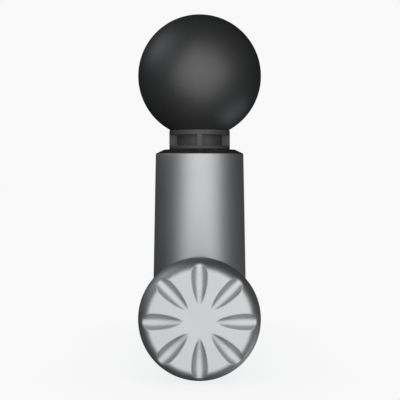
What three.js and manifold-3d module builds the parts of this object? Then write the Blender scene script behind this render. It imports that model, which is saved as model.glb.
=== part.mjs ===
// Mini percussion massager: a ball head on a plunger, driven by a crank inside a tapered barrel,
// with a handle that stands out from the barrel and ends in a fluted speed knob.
//
// Frame, in millimetres: +Z runs along the barrel towards the ball, the handle points along -Y,
// and the origin is the centre of the barrel's flat rear face, which the object stands on.
// The drive is drawn with its crank at the bottom of its turn, so the head is at its lowest.

import * as THREE from 'three';
import { mergeVertices } from 'three/addons/utils/BufferGeometryUtils.js';
import Module from 'manifold-3d';

const wasm = await Module();
wasm.setup();

// ---- driving dimensions -------------------------------------------------------------------

const GAP = 0.3; // clearance between pieces that touch on the real object
const FULL_TURN = Math.PI * 2;
const FINE = 32; // sides of the large round pieces
const MEDIUM = 20; // sides of the pieces inside
const COARSE = 10; // sides of pins, screws and small holes

const BARREL_REAR_RADIUS = 23;
const BARREL_TAPER = 0.018; // loss of radius for each millimetre of height
const BARREL_TOP = 88;
const BARREL_WALL = 1.7;
const REAR_CAP_HEIGHT = 3; // the part of the rear cap that shows below the barrel

const BALL_RADIUS = 30;
const BALL_HEIGHT = 125.9; // of the ball's centre
const NECK_RADIUS = 14.8;
const NECK_CORE_RADIUS = 10.8;
const NECK_BOTTOM = 90.4;
const NECK_WINDOW_BOTTOM = 91.8;
const NECK_WINDOW_TOP = 97.05;
const NECK_RIB_WIDTH = 2.6;
const NECK_RIBS = 4;
const STEM_RADIUS = 7;
const STEM_BOTTOM = 73.4;

const RING_TOP = 90;
const RING_FLAT_RADIUS = 17.3;
const RING_OUTER_RADIUS = 21.3;
const RING_CHAMFER_BOTTOM = 88.3;

const STROKE = 7;
const CRANK_THROW = STROKE / 2;
const PLUNGER_RADIUS = 11;
const PLUNGER_BOTTOM = 50;
const SOCKET_BOTTOM = 72.6;
const SKIRT_TOP = 70.4; // roof of the hollow that the connecting rod swings in
const WRIST_HEIGHT = 58;

const HANDLE_HEIGHT = 23.5; // of the handle's axis above the rear face
const HANDLE_ROOT_REACH = 21; // distances along the handle are measured from the barrel's axis
const HANDLE_ROOT_RADIUS = 16.2;
const HANDLE_WALL = 1.8;
const KNOB_START = 97;
const KNOB_RIM_REACH = 100.4; // where the knob is widest
const KNOB_END = 109.7;
const KNOB_RADIUS = 23.5;
const FLUTES = 8;

// ---- helpers ------------------------------------------------------------------------------

// A closed three.js geometry as a manifold solid, whichever way its faces point.
function solid(geometry) {
  const bare = geometry.clone();
  bare.deleteAttribute('normal');
  bare.deleteAttribute('uv');
  const merged = mergeVertices(bare, 1e-4);
  const index = merged.index.array;
  const triangles = [];
  for (let i = 0; i < index.length; i += 3) {
    const [a, b, c] = [index[i], index[i + 1], index[i + 2]];
    if (a !== b && b !== c && c !== a) triangles.push([a, b, c]);
  }
  const corner = (i) => new THREE.Vector3().fromBufferAttribute(merged.attributes.position, i);
  const volume = triangles.reduce(
    (sum, [a, b, c]) => sum + corner(a).dot(corner(b).cross(corner(c))), 0);
  const outward = volume < 0 ? triangles.map(([a, b, c]) => [a, c, b]) : triangles;
  return new wasm.Manifold(new wasm.Mesh({
    numProp: 3,
    vertProperties: merged.attributes.position.array,
    triVerts: new Uint32Array(outward.flat()),
  }));
}

// A manifold solid as a three.js geometry.
function geometryOf(body) {
  const mesh = body.getMesh();
  const geometry = new THREE.BufferGeometry();
  geometry.setAttribute('position', new THREE.BufferAttribute(mesh.vertProperties, mesh.numProp));
  geometry.setIndex(new THREE.BufferAttribute(mesh.triVerts, 1));
  geometry.computeVertexNormals();
  return geometry;
}

// A profile of [radius, height] points turned about the Z axis.
function turned(profile, segments = MEDIUM) {
  const points = profile.map(([radius, height]) => new THREE.Vector2(radius, height));
  return solid(new THREE.LatheGeometry(points, segments).rotateX(Math.PI / 2));
}

// A plain ring or, with no inner radius, a disc.
function ring(outer, inner, bottom, top, segments = MEDIUM) {
  if (!inner) return turned([[0, bottom], [outer, bottom], [outer, top], [0, top]], segments);
  return turned(
    [[inner, bottom], [outer, bottom], [outer, top], [inner, top], [inner, bottom]], segments);
}

function box(width, depth, height, x, y, z) {
  return solid(new THREE.BoxGeometry(width, depth, height).translate(x, y, z));
}

// A flat outline, drawn in X and Y, pulled up from bottom to top.
function pulledUp(shape, bottom, top, curveSegments = 12) {
  const settings = { depth: top - bottom, bevelEnabled: false, curveSegments };
  return solid(new THREE.ExtrudeGeometry(shape, settings).translate(0, 0, bottom));
}

function turnedAbout(body, axis, angle) {
  const matrix = new THREE.Matrix4().makeRotationAxis(axis, angle);
  return body.transform(matrix.toArray());
}

const aboutZ = (body, angle) => turnedAbout(body, new THREE.Vector3(0, 0, 1), angle);

// Stands a solid drawn along +Z so that it points along +Y, at the given place.
function towardsBack(body, x, z) {
  return turnedAbout(body, new THREE.Vector3(1, 0, 0), -Math.PI / 2).translate([x, 0, z]);
}

// Points of an arc of a circle, as [radius, height], from one angle to another.
function arc(centreRadius, centreHeight, radius, from, to, steps) {
  return Array.from({ length: steps + 1 }, (_, i) => {
    const angle = from + ((to - from) * i) / steps;
    return [centreRadius + radius * Math.cos(angle), centreHeight + radius * Math.sin(angle)];
  });
}

const barrelRadius = (height) => BARREL_REAR_RADIUS - BARREL_TAPER * height;
const boreRadius = (height) => barrelRadius(height) - BARREL_WALL;

const HANDLE_FLARE =
  (KNOB_RADIUS - HANDLE_ROOT_RADIUS) / (KNOB_RIM_REACH - HANDLE_ROOT_REACH);
const handleRadius = (reach) =>
  HANDLE_ROOT_RADIUS + HANDLE_FLARE * (reach - HANDLE_ROOT_REACH);

// ---- materials ----------------------------------------------------------------------------

const finish = (color, roughness, metalness) => ({ color, roughness, metalness });
const SATIN_METAL = finish(0xa9aaac, 0.36, 1);
const DARK_FOAM = finish(0x3c3d3f, 0.8, 0);
const DARK_PLASTIC = finish(0x4a4b4d, 0.5, 0);
const BLACK_PLASTIC = finish(0x1a1a1b, 0.45, 0);
const BLACK_RUBBER = finish(0x141414, 0.85, 0);
const CAST_ALUMINIUM = finish(0xb5b7b9, 0.5, 1);
const BRIGHT_STEEL = finish(0xc9cbcd, 0.22, 1);
const BRASS = finish(0xc29b4a, 0.3, 1);
const COPPER = finish(0xb66a3c, 0.35, 1);
const BOARD_GREEN = finish(0x1f5a3a, 0.5, 0);
const CELL_WRAP = finish(0x2f6f8f, 0.4, 0);
const NICKEL = finish(0xbfbdb5, 0.3, 1);
const CLEAR_WHITE = finish(0xe8ebee, 0.2, 0);

// ---- scene --------------------------------------------------------------------------------

const massager = new THREE.Group();

// Holds everything that is drawn about the handle's axis: its +Z runs out along the handle,
// and its +Y is the frame's +Z.
const handle = new THREE.Group();
handle.position.z = HANDLE_HEIGHT;
handle.rotation.x = Math.PI / 2;
massager.add(handle);

function piece(name, body, look, parent = massager) {
  const mesh = new THREE.Mesh(geometryOf(body), new THREE.MeshStandardMaterial(look));
  mesh.name = name;
  parent.add(mesh);
}

// ---- head: ball, neck with its stem, and the O-ring that holds it -------------------------

const CORE_RADIUS = 8; // spigot inside the ball
const CORE_TOP = 112;

function headBall() {
  const mouth = CORE_RADIUS + GAP;
  const lowest = -Math.acos(mouth / BALL_RADIUS);
  return turned([
    ...arc(0, BALL_HEIGHT, BALL_RADIUS, lowest, Math.PI / 2, 14),
    [0, CORE_TOP + GAP], [mouth, CORE_TOP + GAP],
    arc(0, BALL_HEIGHT, BALL_RADIUS, lowest, lowest, 1)[0],
  ], FINE);
}

const O_RING_HEIGHT = 79;
const O_RING_SECTION = 1.1;
const O_RING_PROUD = 0.1; // how far the ring stands out of its groove
const STEM_CHAMFER = 1;

function headNeck() {
  const seat = BALL_RADIUS + GAP;
  const seatArc = arc(0, BALL_HEIGHT, seat,
    -Math.acos(NECK_RADIUS / seat), -Math.acos(CORE_RADIUS / seat), 3);
  const grooveRadius = STEM_RADIUS - O_RING_SECTION;
  const body = turned([
    [0, STEM_BOTTOM], [STEM_RADIUS - STEM_CHAMFER, STEM_BOTTOM],
    [STEM_RADIUS, STEM_BOTTOM + STEM_CHAMFER],
    [STEM_RADIUS, O_RING_HEIGHT - O_RING_SECTION], [grooveRadius, O_RING_HEIGHT - O_RING_SECTION],
    [grooveRadius, O_RING_HEIGHT + O_RING_SECTION], [STEM_RADIUS, O_RING_HEIGHT + O_RING_SECTION],
    [STEM_RADIUS, NECK_BOTTOM], [NECK_RADIUS, NECK_BOTTOM],
    ...seatArc,
    [CORE_RADIUS, CORE_TOP], [0, CORE_TOP],
  ], FINE);
  const reach = NECK_RADIUS + 2;
  const tall = 2 * (NECK_WINDOW_TOP - NECK_WINDOW_BOTTOM);
  const middle = (NECK_WINDOW_BOTTOM + NECK_WINDOW_TOP) / 2;
  const rib = box(NECK_RIB_WIDTH, reach, tall, 0, -reach / 2, middle);
  let windows = ring(
    NECK_RADIUS + 1, NECK_CORE_RADIUS, NECK_WINDOW_BOTTOM, NECK_WINDOW_TOP, FINE);
  for (let i = 0; i < NECK_RIBS; i += 1) {
    windows = windows.subtract(aboutZ(rib, (i * FULL_TURN) / NECK_RIBS));
  }
  return body.subtract(windows);
}

function headORing() {
  const inner = STEM_RADIUS - O_RING_SECTION + GAP;
  const section = (STEM_RADIUS + O_RING_PROUD - inner) / 2;
  return turned(arc(inner + section, O_RING_HEIGHT, section, -Math.PI, Math.PI, 6));
}

piece('head_ball', headBall(), DARK_FOAM);
piece('head_neck', headNeck(), DARK_PLASTIC);
piece('head_o_ring', headORing(), BLACK_RUBBER);

// ---- barrel: tube, front ring, dust seal and rear cap -------------------------------------

const BUTTON_HEIGHT = 29;
const BUTTON_RADIUS = 5.5;
const LIGHT_HEIGHTS = [39, 42, 45, 48];
const LIGHT_RADIUS = 0.9;
const LIGHT_SIDES = 8;
const JUNCTION_HOLE_RADIUS = 14.6;
const WALL_BAND = 30; // long enough to pass through one side of the barrel's wall

function barrelTube() {
  const tube = turned([
    [boreRadius(REAR_CAP_HEIGHT), REAR_CAP_HEIGHT + GAP],
    [barrelRadius(REAR_CAP_HEIGHT), REAR_CAP_HEIGHT + GAP],
    [barrelRadius(BARREL_TOP), BARREL_TOP],
    [boreRadius(BARREL_TOP), BARREL_TOP],
    [boreRadius(REAR_CAP_HEIGHT), REAR_CAP_HEIGHT + GAP],
  ], FINE);
  const junctionHole = towardsBack(
    ring(JUNCTION_HOLE_RADIUS, 0, -WALL_BAND, 0), 0, HANDLE_HEIGHT);
  const buttonHole = towardsBack(
    ring(BUTTON_RADIUS + GAP, 0, 0, WALL_BAND), 0, BUTTON_HEIGHT);
  const lightHoles = LIGHT_HEIGHTS.map((height) =>
    towardsBack(ring(LIGHT_RADIUS + GAP, 0, 0, WALL_BAND, LIGHT_SIDES), 0, height));
  return [junctionHole, buttonHole, ...lightHoles].reduce((left, cut) => left.subtract(cut), tube);
}

const SEAL_RECESS_RADIUS = 15.4;
const SEAL_BOTTOM = 84.6;
const SEAL_TOP = 87;
const SEAL_LIP_WIDTH = 1;
const SEAL_LIP_DROP = 0.6; // how far the lip's edge lies below the seal's top
const RING_CLEARANCE = 0.7; // between the front ring and the plunger

function frontRing() {
  const mouth = PLUNGER_RADIUS + RING_CLEARANCE;
  const spigot = boreRadius(BARREL_TOP) - GAP;
  return turned([
    [mouth, SEAL_TOP + GAP], [SEAL_RECESS_RADIUS, SEAL_TOP + GAP],
    [SEAL_RECESS_RADIUS, SEAL_BOTTOM], [spigot, SEAL_BOTTOM], [spigot, RING_CHAMFER_BOTTOM],
    [RING_OUTER_RADIUS, RING_CHAMFER_BOTTOM], [RING_FLAT_RADIUS, RING_TOP], [mouth, RING_TOP],
    [mouth, SEAL_TOP + GAP],
  ], FINE);
}

function dustSeal() {
  const lip = PLUNGER_RADIUS + GAP;
  const outer = SEAL_RECESS_RADIUS - GAP;
  return turned([
    [lip, SEAL_TOP - SEAL_LIP_DROP], [lip + SEAL_LIP_WIDTH, SEAL_BOTTOM], [outer, SEAL_BOTTOM],
    [outer, SEAL_TOP], [lip + SEAL_LIP_WIDTH, SEAL_TOP], [lip, SEAL_TOP - SEAL_LIP_DROP],
  ]);
}

const CAP_INSET = 0.2; // how far the cap's side lies inside the barrel's skin
const CAP_EDGE = 1.2; // rounding of the cap's lower edge
const CAP_SPIGOT_TOP = 9;
const CAP_SPIGOT_WALL = 1.8;
const CAP_SCREWS = 3;
const CAP_SCREW_CIRCLE = 16.5;
const CAP_SCREW = { head: 1.9, headHeight: 1.2, shank: 1, length: 6.5 };
const CAP_SCREW_SUNK = 0.3; // depth of the screw's head below the cap's face
const VENTS = 8;
const VENT_INNER = 7.5;
const VENT_OUTER = 12.5;
const VENT_WIDTH = 1.6;

function rearCap() {
  const outer = barrelRadius(REAR_CAP_HEIGHT) - CAP_INSET;
  const spigot = boreRadius(CAP_SPIGOT_TOP) - GAP;
  let cap = turned([
    [0, 0],
    ...arc(outer - CAP_EDGE, CAP_EDGE, CAP_EDGE, -Math.PI / 2, 0, 3),
    [outer, REAR_CAP_HEIGHT], [spigot, REAR_CAP_HEIGHT], [spigot, CAP_SPIGOT_TOP],
    [spigot - CAP_SPIGOT_WALL, CAP_SPIGOT_TOP], [spigot - CAP_SPIGOT_WALL, REAR_CAP_HEIGHT],
    [0, REAR_CAP_HEIGHT],
  ], FINE);
  const vent = box(VENT_OUTER - VENT_INNER, VENT_WIDTH, 3 * REAR_CAP_HEIGHT,
    (VENT_INNER + VENT_OUTER) / 2, 0, 0);
  for (let i = 0; i < VENTS; i += 1) {
    cap = cap.subtract(aboutZ(vent, ((i + 0.5) * FULL_TURN) / VENTS));
  }
  for (let i = 0; i < CAP_SCREWS; i += 1) {
    cap = cap.subtract(capScrewHole().translate(capScrewPlace(i)));
  }
  return cap;
}

// Recess for the screw's head below, and a clearance hole for its shank above.
function capScrewHole() {
  const recessTop = CAP_SCREW_SUNK + CAP_SCREW.headHeight + GAP;
  return ring(CAP_SCREW.head + GAP, 0, -1, recessTop, COARSE)
    .add(ring(CAP_SCREW.shank + GAP, 0, 0, 2 * REAR_CAP_HEIGHT, COARSE));
}

function capScrewPlace(i) {
  const angle = ((i + 0.25) * FULL_TURN) / CAP_SCREWS;
  return [CAP_SCREW_CIRCLE * Math.cos(angle), CAP_SCREW_CIRCLE * Math.sin(angle), 0];
}

const SCREW_RIM_WIDTH = 0.3; // chamfer round the head
const SCREW_RIM_HEIGHT = 0.4;
const SCREW_POINT = 0.5; // height of the chamfered tip
const CROSS_WIDTH = 0.5;
const CROSS_DEPTH = 0.5;

// A pan-head screw with a cross recess, its head's face at z = 0 and its shank upwards.
function screw({ head, headHeight, shank, length }) {
  const body = turned([
    [0, 0], [head - SCREW_RIM_WIDTH, 0], [head, SCREW_RIM_HEIGHT], [head, headHeight],
    [shank, headHeight], [shank, length - SCREW_POINT], [0, length],
  ], COARSE);
  const slot = box(head * 1.1, CROSS_WIDTH, 2 * CROSS_DEPTH, 0, 0, 0);
  return body.subtract(slot).subtract(aboutZ(slot, Math.PI / 2));
}

piece('barrel_tube', barrelTube(), SATIN_METAL);
piece('front_ring', frontRing(), BLACK_PLASTIC);
piece('dust_seal', dustSeal(), BLACK_RUBBER);
piece('rear_cap', rearCap(), BLACK_PLASTIC);
for (let i = 0; i < CAP_SCREWS; i += 1) {
  const capScrew = screw(CAP_SCREW).translate(capScrewPlace(i)).translate([0, 0, CAP_SCREW_SUNK]);
  piece(`cap_screw_${i + 1}`, capScrew, BRIGHT_STEEL);
}

// ---- power button and battery lights, on the barrel's back --------------------------------

const BUTTON_TRAVEL = 0.5;
const BUTTON_FLANGE_RADIUS = 6.6;
const BUTTON_FLANGE = 1;
const BUTTON_FACE = 22.9; // distance of the button's face from the barrel's axis
const BUTTON_EDGE = 0.6;
const BUTTON_DISH = 0.5; // hollow for the fingertip
const BUTTON_SLACK = 0.1; // left between button and switch when the button is pressed
const BUTTON_BOARD_WIDTH = 14;
const BUTTON_BOARD_MARGIN = 3; // above the highest light
const BOARD_BACK = 13;
const BOARD_THICKNESS = 1;
const SWITCH_SIDE = 6;
const SWITCH_HEIGHT = 1.4;
const SWITCH_STEM_RADIUS = 1.5;
const SWITCH_TOP = 16.6;

function powerButton() {
  const inside = SWITCH_TOP + BUTTON_TRAVEL + BUTTON_SLACK;
  return towardsBack(turned([
    [0, inside], [BUTTON_FLANGE_RADIUS, inside],
    [BUTTON_FLANGE_RADIUS, inside + BUTTON_FLANGE], [BUTTON_RADIUS, inside + BUTTON_FLANGE],
    [BUTTON_RADIUS, BUTTON_FACE - BUTTON_EDGE], [BUTTON_RADIUS - BUTTON_EDGE, BUTTON_FACE],
    [0, BUTTON_FACE - BUTTON_DISH],
  ]), 0, BUTTON_HEIGHT);
}

function tactSwitch() {
  const base = BOARD_BACK + BOARD_THICKNESS + GAP;
  const middle = base + SWITCH_HEIGHT / 2;
  const body = box(SWITCH_SIDE, SWITCH_SIDE, SWITCH_HEIGHT, 0, 0, middle)
    .add(ring(SWITCH_STEM_RADIUS, 0, middle, SWITCH_TOP, COARSE));
  return towardsBack(body, 0, BUTTON_HEIGHT);
}

function buttonBoard() {
  const bottom = BUTTON_HEIGHT - BUTTON_BOARD_WIDTH / 2;
  const top = Math.max(...LIGHT_HEIGHTS) + BUTTON_BOARD_MARGIN;
  return box(BUTTON_BOARD_WIDTH, BOARD_THICKNESS, top - bottom,
    0, BOARD_BACK + BOARD_THICKNESS / 2, (bottom + top) / 2);
}

// A light guide: a foot on the board and a pin that ends in a low dome at the barrel's skin.
function statusLight(height) {
  const footRadius = 1.5;
  const footHeight = 3;
  const dome = 0.15;
  const base = BOARD_BACK + BOARD_THICKNESS + GAP;
  const edge = barrelRadius(height) - dome / 3;
  return towardsBack(turned([
    [0, base], [footRadius, base], [footRadius, base + footHeight],
    [LIGHT_RADIUS, base + footHeight], [LIGHT_RADIUS, edge], [0, edge + dome],
  ], LIGHT_SIDES), 0, height);
}

piece('power_button', powerButton(), BLACK_PLASTIC);
piece('tact_switch', tactSwitch(), BLACK_PLASTIC);
piece('button_board', buttonBoard(), BOARD_GREEN);
LIGHT_HEIGHTS.forEach((height, i) => {
  piece(`status_light_${i + 1}`, statusLight(height), CLEAR_WHITE);
});

// ---- stroke drive: guide sleeve, plunger, wrist pin and connecting rod --------------------

const PLUNGER_WALL = 1.5;
const PLUNGER_CHAMFER = 0.5;
const SLEEVE_INNER = PLUNGER_RADIUS + GAP;
const SLEEVE_OUTER = 13.6;
const SLEEVE_BOTTOM = 52;
const SLEEVE_TOP = 84;
const SLEEVE_FLANGE_HEIGHT = 2;
const SLEEVE_FLANGE_WIDTH = 1.6;
const WRIST_RADIUS = 1.6;
const WRIST_HALF_LENGTH = 6.4;
const ROD_HALF_WIDTH = 2.5;
const ROD_WEB_HALF_WIDTH = 1.6;
const BIG_END_RADIUS = 8.4;
const SMALL_END_RADIUS = 4.4;
const BEARING_OUTER = 6.4;
const BEARING_RECESS = 0.1; // the bearing's sides lie a little inside the rod's
const CRANK_PIN_RADIUS = 2.6;
const CRANK_PIN_HEIGHT = HANDLE_HEIGHT - CRANK_THROW;

function plunger() {
  const bore = STEM_RADIUS + GAP;
  const skirt = PLUNGER_RADIUS - PLUNGER_WALL;
  const top = NECK_BOTTOM - GAP;
  return turned([
    [0, SKIRT_TOP], [skirt, SKIRT_TOP], [skirt, PLUNGER_BOTTOM],
    [PLUNGER_RADIUS, PLUNGER_BOTTOM], [PLUNGER_RADIUS, top - PLUNGER_CHAMFER],
    [PLUNGER_RADIUS - PLUNGER_CHAMFER, top],
    [bore, top], [bore, SOCKET_BOTTOM], [0, SOCKET_BOTTOM],
  ]);
}

function guideSleeve() {
  const flange = SLEEVE_OUTER + SLEEVE_FLANGE_WIDTH;
  const underFlange = SLEEVE_TOP - SLEEVE_FLANGE_HEIGHT;
  return turned([
    [SLEEVE_INNER, SLEEVE_BOTTOM], [SLEEVE_OUTER, SLEEVE_BOTTOM], [SLEEVE_OUTER, underFlange],
    [flange, underFlange], [flange, SLEEVE_TOP],
    [SLEEVE_INNER, SLEEVE_TOP], [SLEEVE_INNER, SLEEVE_BOTTOM],
  ]);
}

// A disc across the barrel, centred on its axis, at a given height.
function crossDisc(radius, halfWidth, height, segments = MEDIUM) {
  return towardsBack(ring(radius, 0, -halfWidth, halfWidth, segments), 0, height);
}

// The rod's web, between its two eyes: an outline that tapers upwards from the big end.
function rodWeb() {
  const wideHalf = 4.2;
  const narrowHalf = 2.4;
  const start = 4;
  const end = WRIST_HEIGHT - CRANK_PIN_HEIGHT - 2;
  const outline = new THREE.Shape();
  outline.moveTo(-wideHalf, start);
  outline.lineTo(wideHalf, start);
  outline.lineTo(narrowHalf, end);
  outline.lineTo(-narrowHalf, end);
  outline.closePath();
  // drawn in X and Y, then stood up so that its Y runs along Z
  const flat = pulledUp(outline, -ROD_WEB_HALF_WIDTH, ROD_WEB_HALF_WIDTH);
  return turnedAbout(flat, new THREE.Vector3(1, 0, 0), Math.PI / 2)
    .translate([0, 0, CRANK_PIN_HEIGHT]);
}

function connectingRod() {
  const through = 2 * ROD_HALF_WIDTH;
  return crossDisc(BIG_END_RADIUS, ROD_HALF_WIDTH, CRANK_PIN_HEIGHT)
    .add(crossDisc(SMALL_END_RADIUS, ROD_HALF_WIDTH, WRIST_HEIGHT))
    .add(rodWeb())
    .subtract(crossDisc(BEARING_OUTER + GAP, through, CRANK_PIN_HEIGHT))
    .subtract(crossDisc(WRIST_RADIUS + GAP, through, WRIST_HEIGHT, COARSE));
}

function rodBearing() {
  return crossDisc(BEARING_OUTER, ROD_HALF_WIDTH - BEARING_RECESS, CRANK_PIN_HEIGHT)
    .subtract(crossDisc(CRANK_PIN_RADIUS + GAP, 2 * ROD_HALF_WIDTH, CRANK_PIN_HEIGHT));
}

function wristPin() {
  return crossDisc(WRIST_RADIUS, WRIST_HALF_LENGTH, WRIST_HEIGHT, COARSE);
}

piece('plunger', plunger(), BRIGHT_STEEL);
piece('guide_sleeve', guideSleeve(), BRASS);
piece('connecting_rod', connectingRod(), CAST_ALUMINIUM);
piece('rod_bearing', rodBearing(), BRIGHT_STEEL);
piece('wrist_pin', wristPin(), BRIGHT_STEEL);

// ---- crank, drawn about the handle's axis: distances run out from the barrel's axis --------

const CRANK_FRONT = ROD_HALF_WIDTH + 0.6;
const CRANK_BACK = 7;
const CRANK_RADIUS = 8;
const CRANK_PIN_END = -3.6;
const CLIP_PLACE = -3; // middle of the clip and of its groove
const CLIP_GROOVE_HALF_WIDTH = 0.3;
const CLIP_HALF_WIDTH = 0.15;
const CLIP_GROOVE_RADIUS = CRANK_PIN_RADIUS - 0.7;
const CLIP_INNER_RADIUS = CLIP_GROOVE_RADIUS + 0.1;
const CLIP_OUTER_RADIUS = CRANK_PIN_RADIUS + 1.2;
const CLIP_OPENING = 2.4;
const WEIGHT_RADIUS = 13;
const SHAFT_RADIUS = 2;
const SHAFT_SOCKET_FLOOR = CRANK_FRONT + 0.9;
const SHAFT_END = 31.4;

function crankDisc() {
  const pin = ring(CRANK_PIN_RADIUS, 0, CRANK_PIN_END, CRANK_FRONT + 1);
  const clipGroove = ring(CRANK_PIN_RADIUS + 1, CLIP_GROOVE_RADIUS,
    CLIP_PLACE - CLIP_GROOVE_HALF_WIDTH, CLIP_PLACE + CLIP_GROOVE_HALF_WIDTH);
  return ring(CRANK_RADIUS, 0, CRANK_FRONT, CRANK_BACK)
    .add(pin.subtract(clipGroove).translate([0, -CRANK_THROW, 0]))
    .subtract(ring(SHAFT_RADIUS + GAP, 0, SHAFT_SOCKET_FLOOR, CRANK_BACK + 1));
}

// Half of a heavy ring, on the side away from the crank pin.
function counterweight() {
  const whole = ring(WEIGHT_RADIUS, CRANK_RADIUS + GAP, CRANK_FRONT, CRANK_BACK);
  const side = 4 * WEIGHT_RADIUS;
  return whole.subtract(box(side, side, side, 0, -side / 2, 0));
}

// An open ring that snaps into the crank pin's groove.
function pinClip() {
  const side = 2 * CLIP_OUTER_RADIUS;
  const opening = box(CLIP_OPENING, side, side, 0, -side / 2 - 1, CLIP_PLACE);
  return ring(CLIP_OUTER_RADIUS, CLIP_INNER_RADIUS,
    CLIP_PLACE - CLIP_HALF_WIDTH, CLIP_PLACE + CLIP_HALF_WIDTH)
    .subtract(opening)
    .translate([0, -CRANK_THROW, 0]);
}

function motorShaft() {
  return ring(SHAFT_RADIUS, 0, SHAFT_SOCKET_FLOOR + GAP, SHAFT_END);
}

piece('crank_disc', crankDisc(), CAST_ALUMINIUM, handle);
piece('counterweight', counterweight(), BRASS, handle);
piece('pin_clip', pinClip(), BRIGHT_STEEL, handle);
piece('motor_shaft', motorShaft(), BRIGHT_STEEL, handle);

// ---- drive frame: one casting that holds the motor and the guide sleeve -------------------

const PLATE_FRONT = 8;
const PLATE_BACK = 11;
const PLATE_HALF_WIDTH = 12.5;
const PLATE_BOTTOM = 8;
const PLATE_NOTCH = 40; // above this height the plate is cut away round the sleeve
const PLATE_TOP = 60;
const RAIL_WIDTH = 2.4;
const RAIL_DEPTH = 10;
const RAIL_BOTTOM = 33.5;
const BEARING_BLOCK_BOTTOM = 56;
const BEARING_BLOCK_TOP = 81.6;
const BEARING_BLOCK_TAPER = 0.4;
const SHAFT_WINDOW_RADIUS = 4.6;
const MOTOR_SCREW_CIRCLE = 8.8;
const MOTOR_SCREWS = 4;
const MOTOR_SCREW = { head: 2, headHeight: 0.55, shank: 1, length: 5.4 };
const DAMPER_ROOM = 1.8; // between the casting and the barrel's bore
const DAMPER_HALF_HEIGHT = 1;
const DAMPER_HEIGHTS = { damper_ring_rear: 59.5, damper_ring_front: 77 };

function motorScrewAngle(i) {
  return ((i + 0.5) * FULL_TURN) / MOTOR_SCREWS;
}

// The four clearance holes for the motor's screws, joined into one tool.
function motorScrewHoles() {
  const hole = ring(MOTOR_SCREW.shank + GAP, 0, PLATE_FRONT - 1, PLATE_BACK + MOTOR_SCREW.length,
    COARSE).translate([MOTOR_SCREW_CIRCLE, 0, 0]);
  const holes = Array.from({ length: MOTOR_SCREWS }, (_, i) => aboutZ(hole, motorScrewAngle(i)));
  return holes.reduce((joined, next) => joined.add(next));
}

function driveFrame() {
  const outer = boreRadius(BEARING_BLOCK_BOTTOM) - DAMPER_ROOM;
  const inner = SLEEVE_OUTER + GAP;
  const block = turned([
    [inner, BEARING_BLOCK_BOTTOM], [outer, BEARING_BLOCK_BOTTOM],
    [outer - BEARING_BLOCK_TAPER, BEARING_BLOCK_TOP], [inner, BEARING_BLOCK_TOP],
    [inner, BEARING_BLOCK_BOTTOM],
  ], FINE);
  const plate = box(PLATE_HALF_WIDTH * 2, PLATE_BACK - PLATE_FRONT, PLATE_TOP - PLATE_BOTTOM,
    0, -(PLATE_FRONT + PLATE_BACK) / 2, (PLATE_TOP + PLATE_BOTTOM) / 2);
  const rail = box(RAIL_WIDTH, RAIL_DEPTH, PLATE_TOP - RAIL_BOTTOM,
    0, -PLATE_BACK + RAIL_DEPTH / 2, (PLATE_TOP + RAIL_BOTTOM) / 2);
  const railX = PLATE_HALF_WIDTH + RAIL_WIDTH / 2;
  const holes = ring(SHAFT_WINDOW_RADIUS, 0, PLATE_FRONT - 1, PLATE_BACK + 1)
    .add(motorScrewHoles());
  const alongHandle = new THREE.Matrix4().makeRotationX(Math.PI / 2)
    .setPosition(0, 0, HANDLE_HEIGHT);
  return block.add(plate)
    .add(rail.translate([railX, 0, 0]))
    .add(rail.translate([-railX, 0, 0]))
    .subtract(ring(inner, 0, PLATE_NOTCH, BEARING_BLOCK_TOP + 1))
    .subtract(holes.transform(alongHandle.toArray()));
}

// A rubber ring between the casting and the barrel's bore, with chamfered outer edges.
function damperRing(height) {
  const chamferWidth = 0.2;
  const landHalfHeight = 0.4;
  const inner = boreRadius(BEARING_BLOCK_BOTTOM) - DAMPER_ROOM + GAP;
  const outer = boreRadius(height + DAMPER_HALF_HEIGHT) - GAP;
  const bottom = height - DAMPER_HALF_HEIGHT;
  const top = height + DAMPER_HALF_HEIGHT;
  return turned([
    [inner, bottom], [outer - chamferWidth, bottom], [outer, height - landHalfHeight],
    [outer, height + landHalfHeight], [outer - chamferWidth, top], [inner, top],
    [inner, bottom],
  ]);
}

piece('drive_frame', driveFrame(), CAST_ALUMINIUM);
Object.entries(DAMPER_HEIGHTS).forEach(([name, height]) => {
  piece(name, damperRing(height), BLACK_RUBBER);
});

// ---- brushless motor, drawn about the handle's axis ---------------------------------------

const MOTOR_BASE_FRONT = PLATE_BACK + GAP;
const MOTOR_BASE_BACK = 13.4;
const MOTOR_BASE_RADIUS = 11.4;
const BEARING_TUBE_OUTER = 4.5;
const BEARING_TUBE_END = 28;
const MOTOR_BEARING_RADIUS = 3.5;
const MOTOR_BEARING_WIDTH = 2.8;
const FRONT_BEARING_START = MOTOR_BASE_FRONT + GAP;
const REAR_BEARING_START = 25;
const BELL_RADIUS = 12.2;
const BELL_WALL = 1;
const BELL_WEB = 1.6;
const BELL_HUB_RADIUS = 4.4;
const BELL_HUB_HEIGHT = 1;
const BELL_FRONT = 14.4;
const BELL_BACK = 31;
const COOLING_HOLES = 6;
const COOLING_HOLE_RADIUS = 2;
const COOLING_HOLE_CIRCLE = 7.6;
const STATOR_FRONT = 16;
const STATOR_BACK = 27;
const STATOR_RADIUS = 9.6;
const STATOR_HUB_RADIUS = BEARING_TUBE_OUTER + 1.7;
const STATOR_TEETH = 9;
const TOOTH_WIDTH = 2;
const SHOE_THICKNESS = 1;
const SHOE_SHARE = 0.82; // of each tooth's pitch that its shoe covers
const AIR_GAP = 0.5;
const WINDING_INNER = STATOR_HUB_RADIUS + 0.6;
const WINDING_OUTER = STATOR_RADIUS - 1.4;
const WINDING_FRONT = STATOR_FRONT - 1.6;
const WINDING_BACK = STATOR_BACK + 1.4;

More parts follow.
